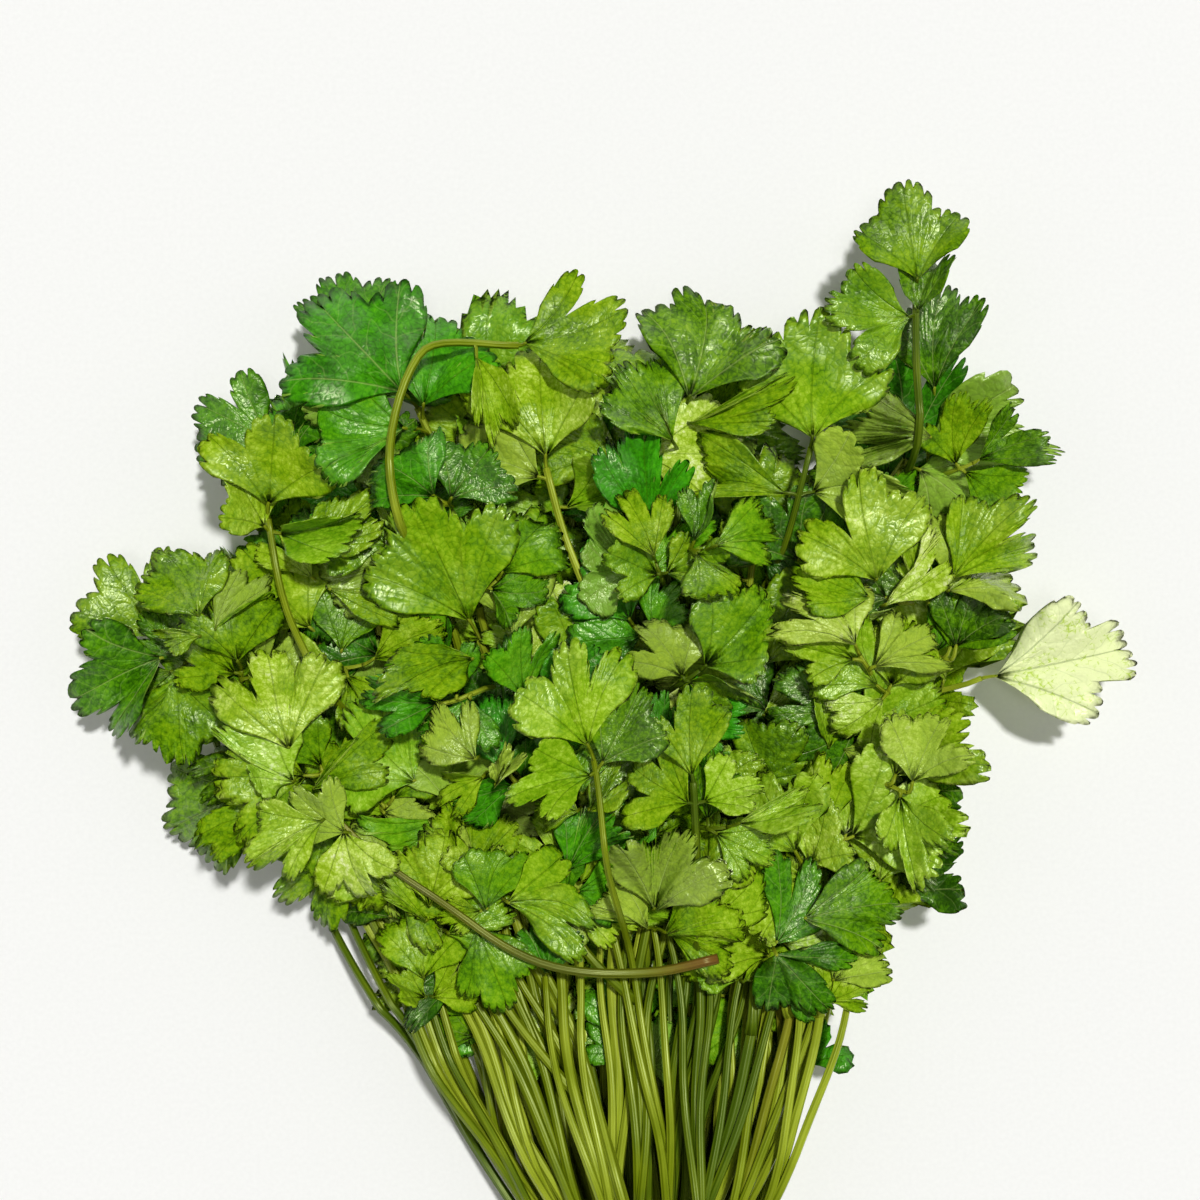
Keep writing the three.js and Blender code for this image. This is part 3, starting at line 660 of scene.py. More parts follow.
STALK_LENGTHS, STALK_RADII = (0.04, 0.16), (0.62, 0.42)
LEAF_RISE = 0.3
LEAF_FINENESS = 1.4  # how far apart a leaflet's points are on the pile, in cells
UNRULY, FOLDED, ASKEW = 0.3, (20, 60), (-50, 50)  # the share of leaflets that fold or lean, and how
FLAT_SHAPE, OPEN_BREADTH, LONE_BREADTH = {"skew": 0, "bend": -0.2, "cup": -0.1}, 1.15, 0.9
TONE_SPREAD, PALEST = 0.12, 0.95
EMERALD_SHARE, EMERALD_SHIFT, EMERALD_SPREAD = 0.88, -0.03, 0.14
FLIPPED = 0.1  # the share of leaflets that show their undersides
TABLE_GAP, STEM_CLEAR = 0.1, 1.1  # a leaflet's more than its usual gap, and a stem's to its radius

# How far leaflets may stand out to the left, to the right and away from the band: the bunch's own
# outline, as y and x, y and x, and x and y.
LEFT_EDGE = (
    *((48, -36), (78, -65), (94, -68), (110, -73), (118, -92), (126, -121), (158, -121)),
    *((164, -146), (188, -146), (200, -141), (207, -127), (211, -108), (222, -104), (233, -111)),
    *((242, -117), (247, -101), (256, -94), (270, -86)),
)
RIGHT_EDGE = (
    *((48, 24), (78, 50), (100, 57), (118, 64), (126, 81), (134, 72), (147, 72), (160, 77), (168, 82)),
    *((190, 87), (202, 89), (206, 97), (226, 101), (230, 107), (240, 104), (244, 80), (266, 77)),
    *((276, 74),),
)
FAR_EDGE = (
    *((-146, 203), (-124, 232), (-116, 243), (-100, 246), (-92, 257), (-85, 272), (-60, 273)),
    *((-50, 276), (-35, 276), (-30, 268), (-10, 268), (0, 265), (8, 270), (24, 274), (28, 262)),
    *((37, 268), (42, 268), (48, 272), (51, 296)),
)
LEAFLET_SIDE, SIDE_REACH = 26, 0.75  # where a side lobe reaches, in degrees and leaflet lengths
# Shares of a leaflet's heading and length, tried in turn until it stands inside.
TURNED_IN = ((1, 1), (0.75, 1), (0.5, 1), (1, 0.8), (0.6, 0.8), (0.2, 0.8))


def leaf_shape(lively, rng):
    """How a leaflet's blade is shaped and turned. Fold, pitch and roll are drawn in degrees."""
    folded = rng.uniform(*FOLDED) if rng.random() < UNRULY * lively else 0
    askew = rng.uniform(*ASKEW) if rng.random() < UNRULY * lively else 0
    return {
        "broad": rng.uniform(0.85, 1.3),
        "skew": rng.uniform(-0.22, 0.22),
        "pleat": rng.uniform(0.0, 0.07),
        "fold": rng.uniform(2, 14) + folded,
        "cup": rng.uniform(-0.35, 0.15),
        "ruffle": rng.uniform(0.03, 0.09),
        "bend": rng.uniform(-1.3, 0.5 * lively),
        "twist": rng.uniform(-0.6, 0.6) * lively,
        "pitch": math.radians(rng.uniform(-10, 32) * lively),
        "roll": math.radians(rng.uniform(-28, 28) * lively + askew),
    }


def leaf_looks(leaf, rng):
    tone = leaf.tone + rng.normal(0, TONE_SPREAD)
    emerald = leaf.emerald * EMERALD_SHARE + rng.normal(EMERALD_SHIFT, EMERALD_SPREAD)
    return {
        "tone": float(np.clip(tone, 0, max(leaf.tone, PALEST))),
        "emerald": float(np.clip(emerald, 0, 1)),
        "flipped": rng.random() < FLIPPED,
    }


def bare_until(stem):
    """The y up to which a stem has no leaves."""
    x = stem[int(np.argmax(stem[:, 1] > BARE_SIDE_Y)), 0]
    return float(np.interp(x, *zip(*BARE_UNTIL)))


def stands_inside(base, heading, length):
    """Whether a leaflet's three lobes end inside the bunch's outline."""
    for turn, share in ((0, 1), (LEAFLET_SIDE, SIDE_REACH), (-LEAFLET_SIDE, SIDE_REACH)):
        toward = math.radians(heading + turn)
        x = base[0] + math.sin(toward) * length * share
        y = base[1] + math.cos(toward) * length * share
        left, right = (np.interp(y, *zip(*edge)) for edge in (LEFT_EDGE, RIGHT_EDGE))
        if not left < x < right or y > np.interp(x, *zip(*FAR_EDGE)):
            return False
    return True


def find_room(base, heading, length):
    """The heading and length of a leaflet, turned in or shortened as far as the outline asks."""
    heading = (heading + 180) % 360 - 180
    tries = [(heading * turn, length * size) for turn, size in TURNED_IN]
    return next((found for found in tries if stands_inside(base, *found)), None)


class Sprig:
    """One sprig as it is laid on the pile."""

    def __init__(self, number, stem, leaf, side, shown, pile):
        self.number = number
        self.name = f"sprig_{number:02d}"
        self.stations = stem
        self.leaf, self.side, self.shown = leaf, side, shown
        self.pile = pile
        self.rng = np.random.default_rng(number)
        self.tied = stem[0][1] < 0
        self.tubes = []
        self.petioles = []
        self.leaflets = []

    def lay_stem(self, route, radii, sides):
        """Lays a stem, twig or stalk on the pile, and returns its route there."""
        route = lie_on(self.pile, route, float(np.mean(radii)), sides != STEM_SIDES)
        self.tubes.append((route, radii, sides))
        self.pile.laid.append(route)
        self.pile.add(crest(route, radii))
        return route

    def lay_stems(self, width):
        """The stem, and its side stem where it has one."""
        points = node_points(self.name)
        route = smooth_route(with_heights(self.stations, points), STEM_RING_GAP)
        route = wander(route, self.number, WANDER_SIZE[self.shown])
        route[:, 2] *= mix(1, FALLEN, smooth_step(route[:, 1], PRESSED_FROM_Y, PRESSED_TO_Y))
        radii = np.interp(np.linspace(0, 1, len(route)), *STEM_TAPER)
        radii *= width / 2 * (between(STEM_WIDTHS, self.number, 32) if self.tied else LOOSE_WIDTH)
        self.stem = self.lay_stem(route, radii, STEM_SIDES)
        if self.tied:
            self.lay_petioles(width)
        if not self.side:
            return
        stations = side_stem(self.stations, self.side)
        twig = smooth_route(with_heights(stations, points), STEM_RING_GAP)
        start = int(np.argmin(np.hypot(*(self.stem[:, :2] - twig[0, :2]).T)))
        shift = np.linspace(1, 0, len(twig)) ** 2
        twig += shift[:, None] * (self.stem[start] - twig[0])
        radii = np.interp(run_along(twig), *TWIG_TAPER) * width
        self.twig = self.lay_stem(twig, radii, TWIG_SIDES)

    def raise_end(self, stem, from_y):
        """Lifts the far part of a stem or twig onto the leaves laid since."""
        radii = next(radii for route, radii, _ in self.tubes if route is stem)
        needed = np.maximum(self.pile.height(stem) + radii.mean() + STEM_GAP - stem[:, 2], 0)
        free = smooth_step(stem[:, 1], from_y - RAISED_BEFORE, from_y + RAISED_AFTER)
        stem[:, 2] += carried(needed * free, STEM_LIFT_PASSES, (1,)) * free
        self.pile.add(crest(stem, radii))

    def lay_petioles(self, width):
        """The short leaf stalks that leave the stem close above the band and stand beside it."""
        rng = self.rng
        for k in range(PETIOLES):
            turn = (1 if (k + self.number) % 2 else -1) * rng.uniform(*PETIOLE_OUT)
            start_y = PETIOLE_FROM_Y + rng.uniform(-PETIOLE_STRAY, PETIOLE_STRAY)
            end_y = bare_until(self.stem) + rng.uniform(*PETIOLE_LONGER[self.shown])
            first, last = (int(np.argmax(self.stem[:, 1] > y)) for y in (start_y, end_y))
            route = self.stem[first : max(last, first + PETIOLE_LEAST)].copy()
            away = smooth_step(np.arange(len(route)), 0, len(route))
            route += sideways_of(route) * (away * turn)[:, None]
            radii = np.interp(away, *PETIOLE_TAPER) * width
            self.petioles.append(self.lay_stem(route, radii, TWIG_SIDES))

    def lay_leaflet(self, stem, place, leaf, heading, length, plan, lively, free=False):
        """Lays one leaflet, turned or shortened to stay in the bunch's outline unless it is free."""
        rng = self.rng
        lone = leaf.tone > 1
        opened = free and self.number in OPEN_ENDS
        shape = leaf_shape(0 if lone or opened else lively, rng)
        shape["whole"] = lone
        if lone or opened:
            shape |= {**FLAT_SHAPE, "broad": LONE_BREADTH if lone else OPEN_BREADTH}
        stalk = length * rng.uniform(*STALK_LENGTHS)
        if not free:
            room = find_room(stem[place], heading, length)
            if not room:
                return
            heading, length = room
        heading = math.radians(heading)
        base = stem[place] + [math.sin(heading) * stalk, math.cos(heading) * stalk, LEAF_RISE]
        points, flat = grow_leaflet(plan, length, shape, rng)
        points = turned_points(points, shape["pitch"], shape["roll"], heading) + base
        points = settle(points, self.pile)
        self.pile.laid.append(points)
        self.pile.add(refined(points, CELL * LEAF_FINENESS))
        looks = leaf_looks(leaf, rng)
        self.leaflets.append({"points": points, "plan": flat, "grid": plan, **looks})
        foot = points[0].mean(axis=0)
        route = stalk_route(stem, place, foot)
        self.pile.laid.append(route)
        self.tubes.append((route, np.linspace(*STALK_RADII, len(route)), STALK_SIDES))

    def lay_head(self, stem, leaf, plan, lively):
        """The leaflets at a stem's end: one on each side, then the end one on top."""
        rng = self.rng
        run = run_along(stem)
        for turn in (-1, 1):
            bare = turn < 0 and self.number == ARCHED and stem is self.stem
            if rng.random() < PAIR_CHANCE and not bare:
                back = leaf.length * rng.uniform(*PAIR_BACK)
                place = int(np.argmin(np.abs(run - (run[-1] - back))))
                heading = leaf.heading + turn * rng.uniform(*PAIR_TURN)
                length = leaf.length * rng.uniform(*PAIR_LENGTH)
                lateral = leaf._replace(tone=min(leaf.tone, LOW_TONE))
                self.lay_leaflet(stem, max(place, 2), lateral, heading, length, plan, lively)
        heading = leaf.heading + rng.uniform(-END_TURN, END_TURN)
        calm = lively * END_CALM
        free = plan is FINE_LEAF
        self.lay_leaflet(stem, len(stem) - 1, leaf, heading, leaf.length, plan, calm, free)

    def lay_small_head(self, twig, heading, length, lively):
        """A small leaf at a twig's end. The twig goes if the outline leaves its leaf no room."""
        if find_room(twig[-1], heading, length):
            tone = min(self.leaf.tone, LOW_TONE)
            leaf = Leaf(*twig[-1, :2], heading, length, tone, self.leaf.emerald)
            self.lay_head(twig, leaf, SMALL_LEAF if self.shown else HIDDEN_LEAF, lively)
        else:
            self.tubes = [tube for tube in self.tubes if tube[0] is not twig]

    def lay_low_leaves(self):
        """Small leaves on twigs, on the two sides of the stem in turn."""
        rng, stem = self.rng, self.stem
        run = run_along(stem)
        first = run[int(np.argmax(stem[:, 1] > bare_until(stem) + rng.uniform(*LOW_LEAF_FROM)))]
        last = run[-1] - LOW_LEAF_SHORT
        count = int(max(0, last - first) / LOW_LEAF_PITCH[self.shown])
        for k in range(count):
            at = first + (k + rng.uniform(*LOW_LEAF_PLACES)) / count * (last - first)
            place = int(np.argmin(np.abs(run - at)))
            tangent = stem[place + 1] - stem[place - 1]
            along = math.degrees(math.atan2(tangent[0], tangent[1]))
            side = 1 if (k + self.number) % 2 else -1
            heading = along + side * rng.uniform(*LOW_LEAF_TURN)
            out = rng.uniform(*TWIG_OUT)
            toward = math.radians(heading)
            start = stem[place]
            end = start + [math.sin(toward) * out, math.cos(toward) * out, TWIG_RISE]
            controls = [start, start + tangent * TWIG_AHEAD, mix(start, end, LEAFWARD), end]
            route = np.array([start] + bezier_stations(controls, TWIG_STEPS, 1))
            route = self.lay_stem(route, np.linspace(*TWIG_RADII, len(route)), STALK_SIDES)
            length = rng.uniform(*LOW_LEAF_LENGTH)
            self.lay_small_head(route, heading, length, LOW_LIVELY[self.shown])

    def lay_leaves(self):
        """The leaves low on the sprig, then those at its end and at its side stem's end."""
        rng = self.rng
        lively = LIVELY[self.shown]
        plan = FINE_LEAF if self.shown else HIDDEN_LEAF
        for petiole in self.petioles:
            ahead = petiole[-1] - petiole[-3]
            along = math.degrees(math.atan2(ahead[0], ahead[1]))
            heading = along + rng.uniform(-PETIOLE_TURN, PETIOLE_TURN)
            self.lay_small_head(petiole, heading, rng.uniform(*PETIOLE_LEAF), lively)
        if self.number in BARE_FROM_Y:
            self.raise_end(self.stem, BARE_FROM_Y[self.number])
        elif self.tied:
            self.lay_low_leaves()
        self.lay_head(self.stem, self.leaf, plan, lively)
        if self.number in TWIG_BARE_FROM_Y:
            self.raise_end(self.twig, TWIG_BARE_FROM_Y[self.number])
        if self.side:
            self.lay_head(self.twig, self.side, plan, lively)


@functools.cache
def grown_bunch(width, highest):
    """Every sprig, laid on those below it."""
    pile = Pile()
    bunch = [Sprig(*row, pile) for row in lay_out()]
    first = 0
    for count, share in zip(INNER_LAYERS, INNER_HEIGHTS):
        for sprig in bunch[first : first + count]:
            sprig.lay_stems(width)
            sprig.lay_leaves()
        pile.press(highest * share)
        first += count
    for sprig in bunch[first:-1]:
        sprig.lay_stems(width)
    for layer, share in zip(CROWN_LAYERS, CROWN_HEIGHTS):
        for sprig in sorted(bunch[first : first + len(layer)], key=lambda s: s.number in LAID_LAST):
            sprig.lay_leaves()
        pile.press(highest * share)
        first += len(layer)
    bunch[-1].lay_stems(width)
    bunch[-1].lay_leaves()
    fit_height(bunch, pile, highest)
    return bunch


def fit_height(bunch, pile, highest):
    """Presses all of it once more, to its height, and keeps every piece above the table."""
    tallest = max(leaflet["points"][..., 2].max() for sprig in bunch for leaflet in sprig.leaflets)
    for points in pile.laid:
        free = smooth_step(points[..., 1], PRESSED_FROM_Y, PRESSED_TO_Y)
        points[..., 2] *= mix(1, min(1, highest / tallest), free)
    for sprig in bunch:
        for route, radii, _ in sprig.tubes:
            route[:, 2] = np.maximum(route[:, 2], radii * STEM_CLEAR)
        for leaflet in sprig.leaflets:
            heights = leaflet["points"][..., 2]
            np.maximum(heights, LEAF_GAP + TABLE_GAP, out=heights)


# Meshes ------------------------------------------------------------------------------------------

# A tube's radius is uneven by two waves round it: their counts, sizes and how they start.
TUBE_WAVES = ((3, 0.05, 1), (5, 0.03, 2.1))
CUT_INSET = 0.72  # the radius of the cut's inner ring, to its rim's
CUT_RING_DEPTH, CUT_MIDDLE_DEPTH = 0.2, 0.5
TIP_LENGTH = 0.5  # to the tip's radius
STEM_PLAN_LENGTH = 100  # this length of stem is one unit of its plan, and one turn round it is too
HEIGHT_FROM_Y, HEIGHT_RANGE = -40, 240  # where a stem's height mark starts, and how far it grows
DRIED_END = 22  # how far from its cut the loose sprig has turned browner
LOOSE_RED, DRIED_RED = 0.45, 1.4  # all along it, and more at its cut


def make_piece(name, points, faces, material):
    mesh = bpy.data.meshes.new(name)
    mesh.from_pydata((np.asarray(points) * MM).tolist(), [], faces)
    if mesh.validate():
        raise RuntimeError(f"{name} has faces that Blender had to mend")
    mesh.shade_smooth()
    mesh.materials.append(material)
    piece = bpy.data.objects.new(name, mesh)
    bpy.context.scene.collection.objects.link(piece)
    return piece


def set_values(mesh, name, domain, values):
    layer = mesh.attributes.new(name, "FLOAT", domain)
    layer.data.foreach_set("value", np.asarray(values, dtype=np.float32))


def set_plan(mesh, name, plan):
    """A UV map from coordinates given for each point."""
    layer = mesh.uv_layers.new(name=name)
    corners = np.empty(len(mesh.loops), dtype=np.int32)
    mesh.loops.foreach_get("vertex_index", corners)
    layer.data.foreach_set("uv", np.asarray(plan, dtype=np.float32)[corners].ravel())


def finish_piece(piece, node):
    """A piece rides on the root, and the solid that it replaces is hidden."""
    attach(piece, "root")
    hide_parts(node)


def leaves_piece(sprig, thickness, material):
    points, faces, plans, tones, emeralds, undersides = [], [], [], [], [], []
    first = 0
    for leaflet in sprig.leaflets:
        solid = sheet_solid(leaflet["points"], thickness)
        grid, plan = leaflet["grid"], leaflet["plan"]
        points.append(solid)
        faces.append(grid.faces + first)
        plans.append(np.concatenate([plan.reshape(-1, 2), plan[1:-1, 1:-1].reshape(-1, 2)]))
        tones.append(np.full(len(solid), leaflet["tone"]))
        emeralds.append(np.full(len(solid), leaflet["emerald"]))
        undersides.append(1 - grid.underside if leaflet["flipped"] else grid.underside)
        first += len(solid)
    faces = np.concatenate(faces).tolist()
    piece = make_piece(sprig.name + "_leaves", np.concatenate(points), faces, material)
    set_values(piece.data, "leaf_tone", "POINT", np.concatenate(tones))
    set_values(piece.data, "leaf_emerald", "POINT", np.concatenate(emeralds))
    set_values(piece.data, "leaf_underside", "FACE", np.concatenate(undersides))
    set_plan(piece.data, "LeafPlan", np.concatenate(plans))
    finish_piece(piece, sprig.name)


def tube_part(route, radii, sides, number):
    """A closed tube: its points, faces, and each point's angle round it, run along it and cut mark."""
    tangents = np.gradient(route, axis=0)
    tangents /= np.linalg.norm(tangents, axis=1, keepdims=True)
    across = sideways_of(route)
    upward = np.cross(across, tangents)
    angles = np.arange(sides) / sides * 2 * math.pi
    uneven = 1
    for count, size, start in TUBE_WAVES:
        uneven = uneven + size * np.sin(count * angles + number * start)
    spokes = across[:, None] * np.cos(angles)[:, None] + upward[:, None] * np.sin(angles)[:, None]
    rings = route[:, None] + spokes * (radii[:, None] * uneven)[..., None]
    inset = mix(route[0], rings[0], CUT_INSET) + tangents[0] * CUT_RING_DEPTH
    cut_middle = route[0] + tangents[0] * CUT_MIDDLE_DEPTH
    tip = route[-1] + tangents[-1] * radii[-1] * TIP_LENGTH
    points = np.concatenate([rings.reshape(-1, 3), inset, [cut_middle], [tip]])

    around = np.arange(sides)
    after = np.roll(around, -1)
    near = np.arange(len(route) - 1)[:, None] * sides
    far = near + sides
    walls = np.stack([near + around, near + after, far + after, far + around], -1)
    last, rim = (len(route) - 1) * sides, len(route) * sides
    middle, end = rim + sides, rim + sides + 1
    faces = walls.reshape(-1, 4).tolist()
    faces += np.stack([around, rim + around, rim + after, after], -1).tolist()
    faces += [[middle, rim + int(k), rim + int(j)] for j, k in zip(around, after)]
    faces += [[end, last + int(j), last + int(k)] for j, k in zip(around, after)]
    run = run_along(route)
    turn = np.concatenate([np.tile(angles, len(route)), angles, [0, 0]]) / (2 * math.pi)
    runs = np.concatenate([np.repeat(run, sides), np.zeros(sides + 1), run[-1:]])
    cut = np.concatenate([np.zeros(rim), np.ones(sides + 1), [0]])
    return points, faces, turn, runs, cut


def stem_piece(sprig, material):
    points, faces, plans, heights, cuts, reds = [], [], [], [], [], []
    first = 0
    for route, radii, sides in sprig.tubes:
        part, part_faces, turn, runs, cut = tube_part(route, radii, sides, sprig.number)
        points.append(part)
        faces.extend([[corner + first for corner in face] for face in part_faces])
        plans.append(np.column_stack([turn, runs / STEM_PLAN_LENGTH]))
        heights.append(np.clip((part[:, 1] - HEIGHT_FROM_Y) / HEIGHT_RANGE, 0, 1))
        main = float(sides == STEM_SIDES)
        cuts.append(cut * main * sprig.tied)
        dried = LOOSE_RED + DRIED_RED * smooth_step(-runs, -DRIED_END, 0)
        browned = np.full(len(part), float(sprig.number in BROWNED))
        reds.append(main * (browned if sprig.tied else dried))
        first += len(part)
    piece = make_piece(sprig.name + "_stem", np.concatenate(points), faces, material)
    set_values(piece.data, "stem_height", "POINT", np.concatenate(heights))
    set_values(piece.data, "stem_cut", "POINT", np.concatenate(cuts))
    set_values(piece.data, "stem_tone", "POINT", np.full(first, chance(sprig.number, 33)))
    set_values(piece.data, "stem_red", "POINT", np.concatenate(reds))
    set_plan(piece.data, "StemPlan", np.concatenate(plans))
    finish_piece(piece, sprig.name)


# Rubber band -------------------------------------------------------------------------------------

BAND_TURNS = 3
BAND_STEPS = 96
BAND_CROSSING = 0.11  # share of a turn, each side of the middle, in which the band crosses itself
BAND_SLACK = 0.15
BAND_BENDS = 360  # directions in which the bundle's girth is measured
BAND_ROUNDING = 9  # how many of those directions on each side a corner is rounded over
BAND_MARGIN = 0.1  # between the strip's outermost turns and the ends of its solid
STRIP_EDGE, EDGE_TURNS = 0.3, (-45, 0, 45)  # the radius of its edges, and where their points lie
BAND_FLAT = 0.9  # how thick the strip still is under the bunch's weight, to its own thickness
BAND_PLAN_WIDTH = 10  # this width of strip is one unit of its plan, and one turn along it is too
FAR_OFF = 100  # keeps the start of the strip's line off the underside


def girth(bunch, y):
    """The closed line of a strip drawn tight round the stems at that y, from its top middle."""
    stems = [sprig.tubes[0][:2] for sprig in bunch if sprig.tied]
    x, z = (np.array([np.interp(y, route[:, 1], route[:, k]) for route, _ in stems]) for k in (0, 2))
    r = np.array([np.interp(y, route[:, 1], radii) for route, radii in stems])
    angle = np.arange(BAND_BENDS) / BAND_BENDS * 2 * math.pi
    reach = (np.outer(np.sin(angle), x) + np.outer(np.cos(angle), z) + r).max(axis=1)
    window = range(-BAND_ROUNDING, BAND_ROUNDING + 1)
    reach = sum(np.roll(reach, k) for k in window) / len(window) + BAND_SLACK
    turning = (np.roll(reach, -1) - np.roll(reach, 1)) / (4 * math.pi / BAND_BENDS)
    across = reach * np.sin(angle) + turning * np.cos(angle)
    up = reach * np.cos(angle) - turning * np.sin(angle)
    start = int(np.argmin(np.abs(across) + FAR_OFF * (up < z.mean())))
    line = np.roll(np.column_stack([across, up]), -start, axis=0)
    line = np.vstack([line, line[:1]])
    run = run_along(line)
    even = np.arange(BAND_STEPS + 1) / BAND_STEPS * run[-1]
    return np.column_stack([np.interp(even, run, line[:, k]) for k in range(2)])[:-1]


def strip_section(half_width, half_thickness):
    """The strip's section: the middles of its rounded edges stand that far from its own middle."""
    section = []
    for across, out in ((1, 1), (-1, 1), (-1, -1), (1, -1)):
        for turn in EDGE_TURNS:
            toward = math.atan2(out, across) + math.radians(turn)
            x = across * half_width + math.cos(toward) * STRIP_EDGE
            section.append((x, out * half_thickness + math.sin(toward) * STRIP_EDGE))
    return section


def strip_course(turns, drift, strip_thickness):
    """How far along the stems the strip is after that many turns, and how far it is raised there."""
    past = (turns + BAND_CROSSING) % BAND_TURNS - BAND_CROSSING
    if past < BAND_CROSSING:
        share = (past + BAND_CROSSING) / (2 * BAND_CROSSING)
        y = mix(drift, -drift, smooth_step(share, 0, 1))
        return y, math.sin(share * math.pi) * strip_thickness
    share = (past - BAND_CROSSING) / (BAND_TURNS - 2 * BAND_CROSSING)
    return mix(-drift, drift, share), 0


def band_piece(bunch, strip_width, strip_thickness, material):
    """One strip wound round the stems, each turn beside the last, and crossing back over them."""
    low, high = (np.array(corner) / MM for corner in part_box("rubber_band"))
    drift = (high[1] - low[1] - strip_width) / 2 - BAND_MARGIN
    near, far = girth(bunch, low[1] + strip_width / 2), girth(bunch, high[1] - strip_width / 2)
    along = np.roll(near + far, -1, axis=0) - np.roll(near + far, 1, axis=0)
    along /= np.linalg.norm(along, axis=1, keepdims=True)
    section = strip_section(strip_width / 2 - STRIP_EDGE, strip_thickness / 2 - STRIP_EDGE)
    points, plan = [], []
    for step in range(BAND_TURNS * BAND_STEPS):
        turns = step / BAND_STEPS
        place = step % BAND_STEPS
        y, raised = strip_course(turns, drift, strip_thickness)
        out_x, out_z = -along[place, 1], along[place, 0]
        line = mix(near[place], far[place], (y + drift) / (2 * drift))
        for across, out in section:
            offset = raised + out + strip_thickness / 2
            z = max(line[1] + out_z * offset, (out + strip_thickness / 2) * BAND_FLAT)
            points.append((line[0] + out_x * offset, y + across, z))
            plan.append((across / BAND_PLAN_WIDTH, turns))
    sides = len(section)
    around = np.arange(sides)
    after = np.roll(around, -1)
    start = np.arange(BAND_TURNS * BAND_STEPS)[:, None] * sides
    following = np.roll(start, -1, axis=0)
    faces = np.stack([start + around, start + after, following + after, following + around], -1)
    piece = make_piece("rubber_band_wound", points, faces.reshape(-1, 4).tolist(), material)
    set_plan(piece.data, "BandPlan", plan)
    finish_piece(piece, "rubber_band")


# Materials ---------------------------------------------------------------------------------------


def linear(hex_colour):
    """The linear colour that Blender's shaders use for an sRGB hex value."""
    channels = [int(hex_colour[k : k + 2], 16) / 255 for k in (1, 3, 5)]
    scaled = [c / 12.92 if c <= 0.04045 else ((c + 0.055) / 1.055) ** 2.4 for c in channels]
    return (*scaled, 1.0)


def add_node(tree, kind, inputs=(), stops=(), **settings):
    """Adds a node, with its settings, its ramp's colours and its inputs, and returns it.

    Inputs go by number or by name, and each is a value, a socket or a node with one main output."""
    node = tree.nodes.new("ShaderNode" + kind)
    for name, value in settings.items():
        setattr(node, name, value)
    for k, colour in enumerate(stops):
        ramp = node.color_ramp.elements
        stop = ramp[k] if k < len(ramp) else ramp.new(1)
        stop.position, stop.color = k / (len(stops) - 1), tuple(colour)
    for name, value in inputs.items() if isinstance(inputs, dict) else enumerate(inputs):
        if isinstance(value, bpy.types.Node):
            value = next(output for output in value.outputs if output.enabled)
        if isinstance(value, bpy.types.NodeSocket):
            tree.links.new(value, node.inputs[name])
        else:
            node.inputs[name].default_value = value
    return node


def new_material(name, **uniform):
    """A material with one Principled shader, whose uniform values are given by their socket names."""
    material = bpy.data.materials.new(name)
    material.use_nodes = True
    tree = material.node_tree
    tree.nodes.clear()
    shader = add_node(tree, "BsdfPrincipled")
    for socket, value in uniform.items():
        shader.inputs[socket.replace("_", " ")].default_value = value
    add_node(tree, "OutputMaterial", [shader])
    return material, shader, functools.partial(add_node, tree)


# Scales of the patterns that are laid in space are 1000 over their sizes in millimetres.

LEAF_CLOUDS, LEAF_SPECKS = 110, 800  # 9 mm and 1.2 mm
LEAF_PUCKERS = 240  # 4 mm
WAX_PATCHES = 48  # 20 mm
WAX_GRAIN = 1700  # 0.6 mm, coarser than the real one, which is too fine to show
VEIN_WIDTH, VEIN_TAPER = 0.013, 0.008  # in leaflet lengths
SIDE_VEINS = 5.5  # to a leaflet length
SIDE_VEIN_SLANT, SIDE_VEIN_BOW, VEIN_BOWS = 1.15, 0.22, 5
VEIN_NET = 21  # meshes of the finest veins to a leaflet length, 1.3 mm apart
PALE_VEIN_TONE = 0.35  # a darker leaf's veins are pale
DARK_VEIN, PALE_VEIN, GREYED = 0.38, 0.34, 0.38  # how far veins and undersides take their colours


